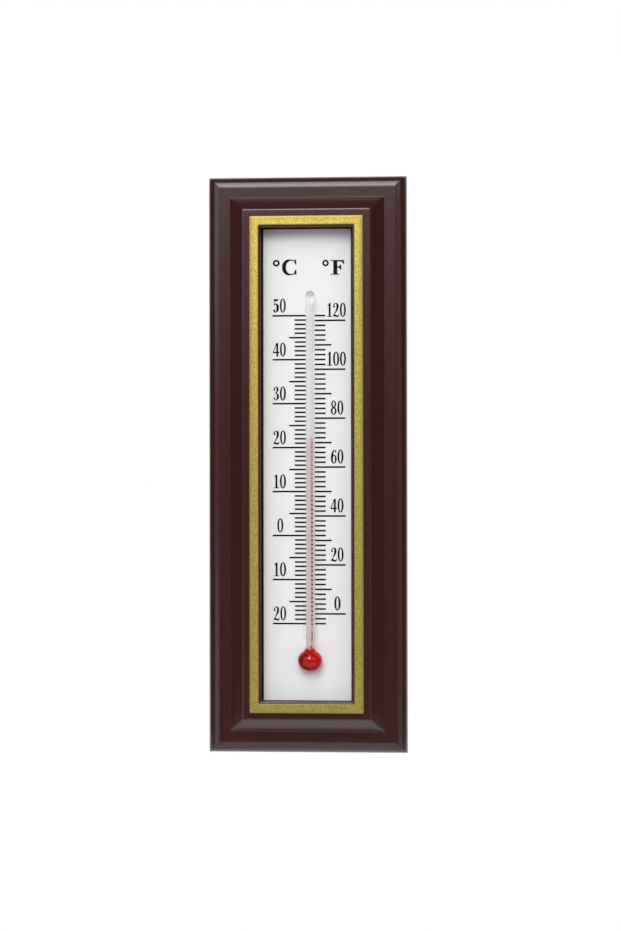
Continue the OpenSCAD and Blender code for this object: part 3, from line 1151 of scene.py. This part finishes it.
@dataclass
class PrintedScale:
    """The plate with its lines, numbers and unit marks, and the tape under it.

    line_over and line_under are a line's edges over and under its height, near_c and near_f where the
    lines start, and reach_c and reach_f where long, middle and short ones end, all from the tube's axis.
    foot_more and head_more lengthen the plate at its ends, found within end_reach. hole_x, hole_crown,
    hole_base and hole_pinch shift, flatten and narrow the bulb's hole. zero_box, box_c and boxes_f are
    the left and right side of a number, in boxes_f by its count of figures.
    """

    layout: Layout
    ink_t: float = 0.04
    gap: float = 0.3
    number_h: float = 4.6
    number_rise_c: float = 1.06
    number_rise_f: float = 1.16
    zero_box: tuple = (-10.12, -8.13)
    box_c: tuple = (-11.38, -7.2)
    boxes_f: tuple = ((9.05, 11.1), (7.95, 12.15), (6.65, 13.05))
    units: tuple = (
        Label("o", -11.52, -9.20, 63.73, 68.92), Label("C", -8.45, -3.53, 63.73, 68.90),
        Label("o", 5.14, 7.36, 63.77, 68.78), Label("F", 8.08, 12.40, 63.77, 68.69))
    zero_rise: float = 41.8
    degree_l: float = 1.48
    low_c: int = -20
    top_c: int = 50
    low_f: int = -4
    top_f: int = 122
    line_over: float = 0.21
    line_under: float = 0.35
    plate_edge: float = 0.04
    end_reach: float = 0.5
    foot_more: float = 0.28
    head_more: float = 0.12
    hole_x: float = -0.17
    hole_crown: float = 0.86
    hole_base: float = 0.92
    hole_pinch: float = 0.97
    near_c: float = 1.6
    near_f: float = 1.5
    reach_c: tuple = (12.75, 7.2, 5.3)
    reach_f: tuple = (11.8, 7.1, 5.1)
    plate_finish: PaintedPlate = PaintedPlate()
    ink_finish: PlainFinish = PlainFinish(
        "scale_ink", (0.006, 0.005, 0.005), (0.012, 0.010, 0.010), 0.5, ior=1.15)
    tape_finish: PlainFinish = PlainFinish(
        "foam_tape", (0.62, 0.61, 0.56), (0.70, 0.69, 0.64), 0.8, 0.4, 0, 0.03)

    def labels(self) -> tuple:
        """Lists the numbers on both sides, each over its own line.

        Returns:
            The labels of the Celsius side and those of the Fahrenheit side.
        """
        celsius = []
        for value in range(self.low_c, self.top_c + 1, 10):
            foot = self.line_z(value) + self.number_rise_c
            sides = self.box_c if value else self.zero_box
            celsius.append(Label(str(abs(value)), *sides, foot, foot + self.number_h))
        fahrenheit = []
        for value in range(0, self.top_f, 20):
            foot = self.line_z(celsius_of(value)) + self.number_rise_f
            sides = self.boxes_f[len(str(value)) - 1]
            fahrenheit.append(Label(str(value), *sides, foot, foot + self.number_h))
        return celsius, fahrenheit

    def line_z(self, celsius: float) -> float:
        """Height of a reading over the frame's middle, in millimetres."""
        return self.layout.bulb_z + self.zero_rise + celsius * self.degree_l

    def print_lines(self, name: str, node: str, side: int, lines: list, ink: bpy.types.Material) -> None:
        """Prints one side's lines, from beside the tube outwards.

        Args:
            name: the new piece's name.
            node: the node of the lines that it replaces.
            side: -1 for the left of the tube, 1 for its right.
            lines: each line's (height from the frame's middle, reach from the tube's axis).
            ink: the ink.
        """
        lay = self.layout
        near = self.near_f if side > 0 else self.near_c
        skin = Skin(name, lay)
        for z, reach in lines:
            left, right = sorted((lay.tube_x + side * near, lay.tube_x + side * reach))
            line = bar(left, z - self.line_under, right, z + self.line_over)
            print_ink(skin, line, lay.plate_face_h, self.ink_t)
        skin.finished(ink, Slot.INK, node, smooth=False)

    def print_label(self, skin: Skin, label: Label, glyphs: dict) -> None:
        """Prints a label: its characters side by side, stretched to fill its box.

        Args:
            skin: the skin that takes the ink.
            label: the label.
            glyphs: the design of each character.
        """
        high = label.head - label.foot
        natural = sum(glyphs[c].width for c in label.text) * high
        gap = self.gap if len(label.text) > 1 else 0
        squeeze = (label.right - label.left - gap * (len(label.text) - 1)) / natural
        scale = np.array([high * squeeze, high])
        pen_x = label.left
        for character in label.text:
            glyph = glyphs[character]
            shift = np.array([pen_x, label.foot])
            for closed, shapes in ((False, glyph.strokes), (True, glyph.rings)):
                for edges in shapes:
                    print_ink(skin, edges * scale + shift, self.layout.plate_face_h, self.ink_t, closed)
            pen_x += glyph.width * high * squeeze + gap

    def plate(self) -> bpy.types.Object:
        """Makes the plate with soft edges, longer at both ends, and with a hole that follows the bulb.

        Returns:
            The plate, on its body.
        """
        lay = self.layout
        piece = merged_copy("scale_plate", "lacquered_plate", self.plate_edge)
        spots = np.empty(len(piece.data.vertices) * 3, dtype=np.float32)
        piece.data.vertices.foreach_get("co", spots)
        sides, heights = spots[0::3], spots[2::3]
        middle = (lay.bulb_z + lay.middle_z) * MM
        aside, above = sides - lay.tube_x * MM, heights - middle
        rim = np.hypot(aside, above) < lay.bulb_r * MM
        flat = np.where(above > 0, self.hole_crown, self.hole_base)
        sides[rim] += (self.hole_x * MM - (1 - self.hole_pinch) * aside)[rim]
        heights[rim] = (middle + flat * self.hole_pinch * above)[rim]
        low, high = heights.min(), heights.max()
        heights[heights < low + self.end_reach * MM] -= self.foot_more * MM
        heights[heights > high - self.end_reach * MM] += self.head_more * MM
        piece.data.vertices.foreach_set("co", spots)
        dress(piece, self.plate_finish.material())
        return settle(piece, Slot.PLATE, "scale_plate")

    def build(self) -> None:
        """Prints the numbers, the unit marks and the lines, and finishes the plate and its tapes."""
        glyphs = book_numerals()
        ink = self.ink_finish.material()
        celsius, fahrenheit = self.labels()
        for name, labels in (("celsius_numbers", celsius), ("fahrenheit_numbers", fahrenheit),
                             ("unit_marks", self.units)):
            skin = Skin(name, self.layout)
            for label in labels:
                self.print_label(skin, label, glyphs)
            skin.finished(ink, Slot.INK, smooth=False)
        long, middle, short = self.reach_c
        lines = [(self.line_z(c), short if c % 5 else middle if c % 10 else long)
                 for c in range(self.low_c, self.top_c + 1)]
        self.print_lines("celsius_lines", "celsius_scale", -1, lines, ink)
        long, middle, short = self.reach_f
        lines = [(self.line_z(celsius_of(f)), short if f % 10 else middle if f % 20 else long)
                 for f in range(self.low_f, self.top_f + 1, 2)]
        self.print_lines("fahrenheit_lines", "fahrenheit_scale", 1, lines, ink)
        self.plate()
        tape = self.tape_finish.material()
        for node in ("plate_tape_left", "plate_tape_right"):
            dress(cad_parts[node], tape)
        LOG.info("plate and tapes finished")


@dataclass
class SpiritTube:
    """The glass tube with its bulb, the red spirit in it and the adhesive that holds it.

    bulb_x, stem_x and bore_x are how far each lies to the right of the CAD tube's axis, and the tube
    leans from lean_start over the bulb's middle on, over lean_run. crown and base flatten the bulb's
    upper and lower half. The thread starts thread_foot under its CAD foot, and its bend goes from
    bend_below its foot to bend_above its top. The glow is the film behind the thread.
    An image is (left, foot, right, head): across from the tube's axis, and up from the line that it
    belongs to, or from the frame's middle for those near the bulb.
    """

    layout: Layout
    tube_r: float = 1.5
    bulb_x: float = -0.17
    stem_x: float = 0.03
    crown: float = 0.86
    base: float = 0.92
    bore_r: float = 0.25
    bore_reach: float = 0.375
    bulb_wall: float = 0.07
    spirit_overlap: float = 0.03
    tip_l: float = 4.1
    neck_run: float = 0.85
    neck_flare: float = 0.9
    neck_share: float = 0.6
    meniscus_r: float = 0.19
    meniscus_l: float = 1.6
    meniscus_dish: float = 0.12
    thread_rings: int = 90
    thread_foot: float = 2.65
    bend_below: float = 16.0
    bend_above: float = 7.94
    bore_x: float = 0.36
    lean_start: float = 3.5
    lean_run: float = 2.0
    funnel: float = 1.4
    funnel_top: float = 0.9
    glow_half_w: float = 1.15
    glow_drop: float = 0.55
    glow_t: float = 0.05
    glow_step: float = 0.08
    image_t: float = 0.02
    image_gap: float = 0.05
    clear_image: tuple = (0.24, -0.33, 0.68, 0.19)
    faint_image: tuple = (0.38, -0.33, 0.54, 0.19)
    bulb_images: tuple = (
        (0.36, -58.93, 0.54, -56.04), (0.14, -58.93, 0.36, -58.6), (0.26, -56.5, 0.36, -56.2))
    low_c: int = -20
    clear_c: int = 9
    reading_c: int = 22
    glass_finish: ClearFinish = ClearFinish("tube_glass", (0.93, 0.925, 0.94), 0.0, 1.47)
    thread_finish: ClearFinish = ClearFinish("thread_spirit", (0.95, 0.70, 0.68), 0.0, 1.42)
    bulb_glass_finish: ClearFinish = ClearFinish("bulb_glass", (0.95, 0.93, 0.93), 0.0, 1.34)
    bore_finish: ClearFinish = ClearFinish("bore_wall", (0.97, 0.965, 0.975), 0.0, 1.13)
    glow_finish: ClearFinish = ClearFinish("spirit_glow", (1.0, 0.90, 0.885), 0.0, 1.0)
    image_finish: PlainFinish = PlainFinish(
        "tick_images", (0.040, 0.010, 0.012), (0.055, 0.014, 0.017), 0.5, ior=1.15)
    # the spirit in the bulb, with a darker tint painted on its left as shade for the light focused into its
    # right side
    bulb_finish: ClearFinish = ClearFinish(
        "bulb_spirit", (0.80, 0.004, 0.002), 0.05, 1.1, 0.35, (0.36, 0.003, 0.0015))
    adhesive_finish: ClearFinish = ClearFinish(
        "clear_adhesive", (0.66, 0.56, 0.66), 0.3, 1.2, 0.0, alpha=0.05)
    thin_adhesive_finish: ClearFinish = ClearFinish(
        "thin_clear_adhesive", (0.74, 0.74, 0.75), 0.3, 1.1, 0.0, alpha=0.02)

    def ball(self, radius: float, neck_r: float, run: float, top_z: float) -> np.ndarray:
        """Profile of a ball that draws in to a neck.

        The ball is (radius * sin a, -radius * cos a), its heights times crown over its middle and times
        base under it, up to near the neck. From there a quarter of an ellipse runs into the upright neck,
        which has a few more loops where the tube leans.

        Args:
            radius: the ball's radius, in millimetres.
            neck_r: the neck's radius.
            run: how far the curve runs up the neck.
            top_z: where the neck ends, from the frame's middle.

        Returns:
            Rows of (radius, height from the frame's middle), from the bottom up.
        """
        leave_r = min(neck_r + self.neck_flare, radius * self.neck_share)
        leave = math.pi - math.asin(leave_r / radius)
        turn = np.linspace(0.03, leave, 40)
        arc = np.stack([radius * np.sin(turn), -radius * np.cos(turn)], 1)
        arc[:, 1] *= np.where(arc[:, 1] > 0, self.crown, self.base)
        slope = math.tan(leave - math.pi / 2) / self.crown
        corner = np.array([neck_r, arc[-1, 1] + (leave_r - neck_r) / slope])
        neck = soft_path(np.array([arc[-1], corner, [neck_r, top_z - self.layout.bulb_z]]),
                         np.array([[np.linalg.norm(corner - arc[-1]) * 0.98, run]]), guard=0.02)[2:]
        lean_end = min(self.lean_start + self.lean_run + 0.05, neck[-1, 1] - 0.02)
        stem = np.linspace(neck[-2, 1], lean_end, 7)[1:]
        stem = np.stack([np.full_like(stem, neck_r), stem], 1)
        return np.concatenate([arc, neck[:-1], stem, neck[-1:]]) + [0, self.layout.bulb_z]

    def leaning(self, profile: np.ndarray, aside: float, around: int) -> np.ndarray:
        """Turns a profile about the tube's axis, and moves its stem a little aside.

        Each loop moves sideways, by bulb_x in the bulb, and from its top on smoothly to the stem's own
        shift: by share ** 2 * (3 - 2 * share) of the difference.

        Args:
            profile: rows of (radius, height from the frame's middle).
            aside: how far the stem lies aside.
            around: the number of points of a loop.

        Returns:
            The loops.
        """
        lay = self.layout
        rings = revolved(profile, (lay.tube_x, lay.tube_h), around=around)
        share = np.clip((rings[..., 2] - lay.bulb_z - self.lean_start) / self.lean_run, 0, 1)
        rings[..., 0] += self.bulb_x + (aside - self.bulb_x) * share ** 2 * (3 - 2 * share)
        return rings

    def glass(self) -> bpy.types.Object:
        """Makes the tube: an outer wall with bulb, stem and round tip, and the bore inside.

        Returns:
            The piece, with the stem's, the bulb's and the bore's own glass.
        """
        lay = self.layout
        skin = Skin("spirit_tube_glass", lay)
        stem_top = lay.tip_z - self.tube_r
        cap = np.linspace(0, np.pi / 2, 16)[1:-1]
        tip = np.stack([self.tube_r * np.cos(cap), stem_top + self.tube_r * np.sin(cap)], 1)
        outer = np.concatenate([self.ball(lay.bulb_r, self.tube_r, self.neck_run, stem_top), tip])
        skin.add(self.leaning(outer, self.stem_x, 72))
        bore_top = lay.tip_z - self.tip_l
        end = np.stack([self.bore_r * np.cos(cap), bore_top - self.bore_r + self.bore_r * np.sin(cap)], 1)
        ball = self.ball(lay.bulb_r - self.bulb_wall, self.bore_r, self.funnel, bore_top - self.bore_r)
        skin.add(self.leaning(np.concatenate([ball, end]), self.bore_x, 48), hollow=True)
        piece = skin.finished(self.glass_finish.material(), Slot.GLASS, "glass_tube")
        for finish in (self.bulb_glass_finish, self.bore_finish):
            piece.data.materials.append(finish.material())
        faces = piece.data.polygons
        centres = np.empty(len(faces) * 3, dtype=np.float32)
        faces.foreach_get("center", centres)
        lean_foot = lay.point(lay.tube_x + self.bore_x, lay.tube_h, lay.bulb_z + self.lean_start)
        offset = centres.reshape(-1, 3) - np.array(lean_foot)
        in_bore = np.hypot(offset[:, 0], offset[:, 1]) < self.bore_reach * MM
        kinds = np.where(offset[:, 2] < 0, 1, np.where(in_bore, 2, 0))
        faces.foreach_set("material_index", kinds.astype(np.int32))
        return piece

    def bulb(self) -> bpy.types.Object:
        """Makes the spirit in the bulb, up to the foot of the thread.

        Returns:
            The piece.
        """
        lay = self.layout
        radius = lay.bulb_r - self.bulb_wall + self.spirit_overlap
        skin = Skin("spirit_in_bulb", lay)
        profile = self.ball(radius, lay.thread_r, self.funnel, lay.thread_base_z + self.funnel_top)
        skin.add(self.leaning(profile, self.bore_x, 72))
        return skin.finished(self.bulb_finish.material(), Slot.SPIRIT, "bulb_spirit")

    def rod(self, name: str, section: np.ndarray, finish: ClearFinish, ends: tuple) -> bpy.types.Object:
        """Makes an upright rod, which isn't on a body yet.

        Args:
            name: the piece's name.
            section: the rod's section, rows of (x from the tube's axis, height).
            finish: its finish.
            ends: its lower and upper end, from the frame's middle.

        Returns:
            The piece.
        """
        place = np.linspace(*ends, self.thread_rings)
        rings = np.zeros((len(place), len(section), 3))
        rings[..., 0] = self.layout.tube_x + section[:, 0]
        rings[..., 1] = section[:, 1]
        rings[..., 2] = place[:, None]
        skin = Skin(name, self.layout)
        skin.add(rings)
        piece = skin.build()
        dress(piece, finish.material())
        return piece

    def stretching(self, name: str, section: np.ndarray, finish: ClearFinish) -> bpy.types.Object:
        """Makes a rod from inside the bulb to the meniscus, which stretches as the column rises.

        Its bend from the bulb to the column starts under its foot and ends over its top, so that no part
        of it shortens by more than its own length, and the rod doesn't fold at its lowest level.

        Args:
            name: the piece's name.
            section: the rod's section, rows of (x from the tube's axis, height).
            finish: its finish.

        Returns:
            The piece.
        """
        lay = self.layout
        foot, top = lay.thread_base_z - self.thread_foot, lay.column_z - self.meniscus_l
        piece = self.rod(name, section, finish, (foot, top))
        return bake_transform(piece, Body.HOUSING.value, Body.COLUMN.value,
                        start=lay.point(lay.tube_x, lay.tube_h, foot - self.bend_below),
                        end=lay.point(lay.tube_x, lay.tube_h, top + self.bend_above))

    def thread(self) -> None:
        """Makes the thread, and the film that stands for the pink light it casts in the glass."""
        lay = self.layout
        turn = np.linspace(0, 2 * np.pi, 20, endpoint=False)
        circle = np.stack([np.cos(turn), np.sin(turn)], 1)
        section = lay.thread_r * circle + [self.bore_x, lay.tube_h]
        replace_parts(self.stretching("spirit_thread_red", section, self.thread_finish), "spirit_thread")
        front = lay.tube_h - self.glow_drop
        film = np.array([[-1, front], [1, front], [1, front - self.glow_t], [-1, front - self.glow_t]])
        film[:, 0] = film[:, 0] * self.glow_half_w + self.stem_x
        self.stretching("spirit_glow", film, self.glow_finish)
        top = self.rod("spirit_glow_top", film + [0, self.glow_step], self.glow_finish,
                       (lay.column_z - self.meniscus_l, lay.column_z))
        settle(top, Slot.SPIRIT, body=Body.COLUMN)

    def meniscus(self) -> bpy.types.Object:
        """Makes the hollow end of the column, a short rod with a dish in its top.

        Returns:
            The piece.
        """
        lay = self.layout
        share = np.linspace(1, 0.1, 8)
        dish = np.stack([self.meniscus_r * share, lay.column_z - self.meniscus_dish * (1 - share ** 2)], 1)
        foot = lay.column_z - self.meniscus_l
        profile = np.concatenate([[[self.meniscus_r * 0.3, foot], [self.meniscus_r, foot + 0.01]], dish])
        skin = Skin("spirit_meniscus", lay)
        skin.add(revolved(profile, (lay.tube_x + self.bore_x, lay.tube_h), around=20))
        return skin.finished(self.thread_finish.material(), Slot.SPIRIT, "meniscus", body=Body.COLUMN)

    def images(self, line_z: Callable[[float], float]) -> None:
        """Makes the small images of the Celsius lines that the round glass shows over the thread.

        They are clear beside the lower part of the thread, weaker up to its top and gone above it.

        Args:
            line_z: gives the height of a reading's line.
        """
        lay = self.layout
        skin = Skin("tube_marks", lay)
        height = lay.tube_h + self.bore_r + self.image_gap
        boxes = []
        for value in range(self.low_c, self.reading_c):
            left, foot, right, head = self.clear_image if value <= self.clear_c else self.faint_image
            boxes.append((left, line_z(value) + foot, right, line_z(value) + head))
        for left, foot, right, head in (*boxes, *self.bulb_images):
            print_ink(skin, bar(lay.tube_x + left, foot, lay.tube_x + right, head), height, self.image_t)
        skin.finished(self.image_finish.material(), Slot.INK, smooth=False)

    def build(self, line_z: Callable[[float], float]) -> None:
        """Makes and dresses the tube and all that is in and on it.

        Args:
            line_z: gives the height of a reading's line.
        """
        self.images(line_z)
        self.glass()
        self.bulb()
        self.thread()
        self.meniscus()
        dress(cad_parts["upper_adhesive"], self.thin_adhesive_finish.material())
        dress(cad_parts["lower_adhesive"], self.adhesive_finish.material())


@dataclass
class BackCover:
    """The cover with its keyhole, and the four screws that hold it."""

    edge: float = 0.25
    screw_edge: float = 0.08
    finish: MouldedPlastic = MouldedPlastic(
        "cover_plastic", (0.024, 0.0105, 0.0095), (0.032, 0.014, 0.0125), (0.42, 0.55), 12, 0.5, 0.02)
    screw_finish: PlainFinish = PlainFinish(
        "zinc_steel", (0.48, 0.49, 0.50), (0.62, 0.62, 0.62), 0.34, 0.4, 1.0, 0.004)

    def build(self) -> None:
        """Rounds the edges of the cover and the screws, and finishes them."""
        cover = merged_copy("back_cover", "keyhole_cover", self.edge)
        dress(cover, self.finish.material())
        settle(cover, Slot.COVER, "back_cover")
        steel = self.screw_finish.material()
        for corner in ("upper_left", "upper_right", "lower_left", "lower_right"):
            screw = merged_copy("cover_screw_" + corner, "screw_" + corner, self.screw_edge)
            dress(screw, steel)
            settle(screw, Slot.STEEL, "cover_screw_" + corner)


@dataclass(frozen=True)
class SoftBox:
    """A large soft lamp, by the angles that it spans as seen from the thermometer.

    Azimuth runs from straight in front to the right, and elevation from the horizon up, in degrees.
    The distance is in metres.
    """

    name: str
    azimuth: tuple
    elevation: tuple
    radiance: float
    distance: float = 2.4


@dataclass
class Studio:
    """The floor, the backdrop, the lamps and the camera.

    The sheet's sizes are in metres. The point aimed at and the camera's distance from it are in
    millimetres from the frame's middle, and the camera's angles in degrees.
    """

    layout: Layout
    floor_z: float = -0.45
    front_y: float = -0.9
    back_y: float = 1.3
    half_width: float = 1.2
    wall_top: float = 1.6
    sweep_r: float = 0.4
    paper: tuple = (0.6, 0.6, 0.6)
    surround: tuple = (0.05, 0.05, 0.05)
    lamps: tuple = (
        SoftBox("key_lamp", (-26, 14), (26, 50), 7.3),
        SoftBox("key_crown", (-26, 14), (50, 72), 4.8),
        SoftBox("key_skirt", (-22, 16), (14.5, 26), 2.3),
        SoftBox("key_hem", (-22, 16), (4, 14.5), 0.22),
        SoftBox("left_upper_lamp", (-68, -24), (6, 17), 1.5, 1.5),
        SoftBox("left_lower_lamp", (-68, -26), (-18, -5), 1.05, 1.3),
        SoftBox("left_fill", (-68, -28), (17, 36), 1.5),
        SoftBox("right_fill", (22, 64), (15, 36), 2.0),
        SoftBox("right_lamp", (30, 80), (-20, 15), 0.28, 1.1),
        SoftBox("rear_left_lamp", (-145, -115), (20, 50), 2.6, 1.2),
        SoftBox("rear_right_lamp", (115, 145), (20, 50), 2.6, 1.2),
    )
    aim_h: float = 10
    aim_x: float = 0.575
    aim_z: float = -0.3566
    distance: float = 581.5
    yaw: float = 3.2078
    pitch: float = -0.4066
    roll: float = -0.0829
    focal_px: float = 1701.59
    image_h: float = 931.0
    sensor: float = 36.0

    def sweep(self) -> None:
        """Makes the pale floor and the backdrop that it rises into, as one curved sheet.

        The sheet's profile runs along the floor, round a quarter circle and up the backdrop.
        """
        turn = np.linspace(0, np.pi / 2, 16)
        curve = np.stack([self.back_y - self.sweep_r + self.sweep_r * np.sin(turn),
                          self.floor_z + self.sweep_r - self.sweep_r * np.cos(turn)], 1)
        profile = np.concatenate([[[self.front_y, self.floor_z]], curve, [[self.back_y, self.wall_top]]])
        sides = np.array([-self.half_width, self.half_width])
        grid = np.stack([np.broadcast_to(sides, (len(profile), 2)), np.repeat(profile[:, :1], 2, 1),
                         np.repeat(profile[:, 1:], 2, 1)], -1)
        index = np.arange(len(profile) * 2).reshape(-1, 2)
        quads = np.stack([index[:-1, 0], index[:-1, 1], index[1:, 1], index[1:, 0]], 1)
        mesh = bpy.data.meshes.new("studio_sweep")
        mesh.from_pydata(grid.reshape(-1, 3).tolist(), [], quads.tolist())
        mesh.polygons.foreach_set("use_smooth", np.ones(len(mesh.polygons), bool))
        sheet = new_object("studio_sweep", mesh)
        dress(sheet, self.paper_material())

    def paper_material(self) -> bpy.types.Material:
        """Makes pale paper that shows white to the camera, through glass and in reflections.

        Returns:
            The material.
        """
        nodes = Nodes("studio_paper")
        tree = nodes.tree
        nodes.set(Base_Color=(*self.paper, 1), Roughness=0.9)
        glow = tree.nodes.new("ShaderNodeEmission")
        glow.inputs["Strength"].default_value = 1.0
        both = tree.nodes.new("ShaderNodeMixShader")
        seen = any_ray(tree, "Is Camera Ray", "Is Glossy Ray", "Is Transmission Ray")
        nodes.link(seen, both.inputs["Fac"])
        nodes.link(nodes.shader.outputs["BSDF"], both.inputs[1])
        nodes.link(glow.outputs[0], both.inputs[2])
        nodes.link(both.outputs[0], nodes.output.inputs["Surface"])
        return nodes.material

    def surroundings(self) -> None:
        """Makes the world: white to the camera and through glass, and a dim studio for the light."""
        world = bpy.data.worlds.new("studio")
        world.use_nodes = True
        tree = world.node_tree
        tree.nodes.clear()
        dim = tree.nodes.new("ShaderNodeBackground")
        dim.inputs["Color"].default_value = (*self.surround, 1)
        white = tree.nodes.new("ShaderNodeBackground")
        white.inputs["Color"].default_value = (1, 1, 1, 1)
        mix = tree.nodes.new("ShaderNodeMixShader")
        tree.links.new(any_ray(tree, "Is Camera Ray", "Is Transmission Ray"), mix.inputs["Fac"])
        tree.links.new(dim.outputs[0], mix.inputs[1])
        tree.links.new(white.outputs[0], mix.inputs[2])
        output = tree.nodes.new("ShaderNodeOutputWorld")
        tree.links.new(mix.outputs[0], output.inputs["Surface"])
        bpy.context.scene.world = world

    def light(self) -> None:
        """Hangs the lamps round the frame's middle, each facing it."""
        middle = self.layout.point(0, self.aim_h, 0)
        for lamp in self.lamps:
            spans = (lamp.azimuth, lamp.elevation)
            azimuth, elevation = (math.radians(sum(span) / 2) for span in spans)
            half_across, half_up = (math.radians((span[1] - span[0]) / 2) for span in spans)
            way = Vector((math.sin(azimuth) * math.cos(elevation), -math.cos(azimuth) * math.cos(elevation),
                          math.sin(elevation)))
            data = bpy.data.lights.new(lamp.name, "AREA")
            data.shape = "RECTANGLE"
            data.size = 2 * lamp.distance * math.tan(half_across * math.cos(elevation))
            data.size_y = 2 * lamp.distance * math.tan(half_up)
            data.energy = lamp.radiance * math.pi * data.size * data.size_y
            holder = new_object(lamp.name, data)
            holder.location = middle + way * lamp.distance
            holder.rotation_euler = (-way).to_track_quat("-Z", "Y").to_euler()
            holder.visible_camera = False

    def camera(self) -> None:
        """Sets the camera to the photograph's view of the frame.

        It lies at the distance (in millimetres) from the point aimed at, which is near the frame's middle.
        """
        yaw, pitch, roll = (math.radians(a) for a in (self.yaw, self.pitch, self.roll))
        back = Vector((math.sin(yaw) * math.cos(pitch), -math.cos(yaw) * math.cos(pitch), math.sin(pitch)))
        right = Vector((math.cos(yaw), math.sin(yaw), 0))
        up = back.cross(right)
        turned_right = right * math.cos(roll) + up * math.sin(roll)
        turned_up = up * math.cos(roll) - right * math.sin(roll)
        data = bpy.data.cameras.new("camera")
        data.sensor_fit = "AUTO"
        data.sensor_width = self.sensor
        data.lens = self.focal_px * self.sensor / self.image_h
        data.clip_start, data.clip_end = 0.01, 20
        holder = new_object("camera", data)
        place = self.layout.point(self.aim_x, 0, self.aim_z) + back * self.distance * MM
        axes = Matrix((turned_right, turned_up, back)).transposed()
        holder.matrix_world = Matrix.Translation(place) @ axes.to_4x4()
        bpy.context.scene.camera = holder

    def build(self) -> None:
        """Sets up the camera, the paper, the world and the lamps."""
        self.camera()
        self.sweep()
        self.surroundings()
        self.light()
        bpy.context.scene.view_settings.view_transform = "Standard"
        LOG.info("studio ready")


def main() -> None:
    """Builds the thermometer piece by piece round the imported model."""
    logging.basicConfig(level=logging.INFO, format="%(name)s: %(message)s")
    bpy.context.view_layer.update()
    layout = Layout.from_model()
    Studio(layout).build()
    moulding = Moulding(layout)
    moulding.build()
    GiltSlip(moulding).build()
    scale = PrintedScale(layout)
    scale.build()
    SpiritTube(layout).build(scale.line_z)
    BackCover().build()


if __name__ == "__main__":
    main()
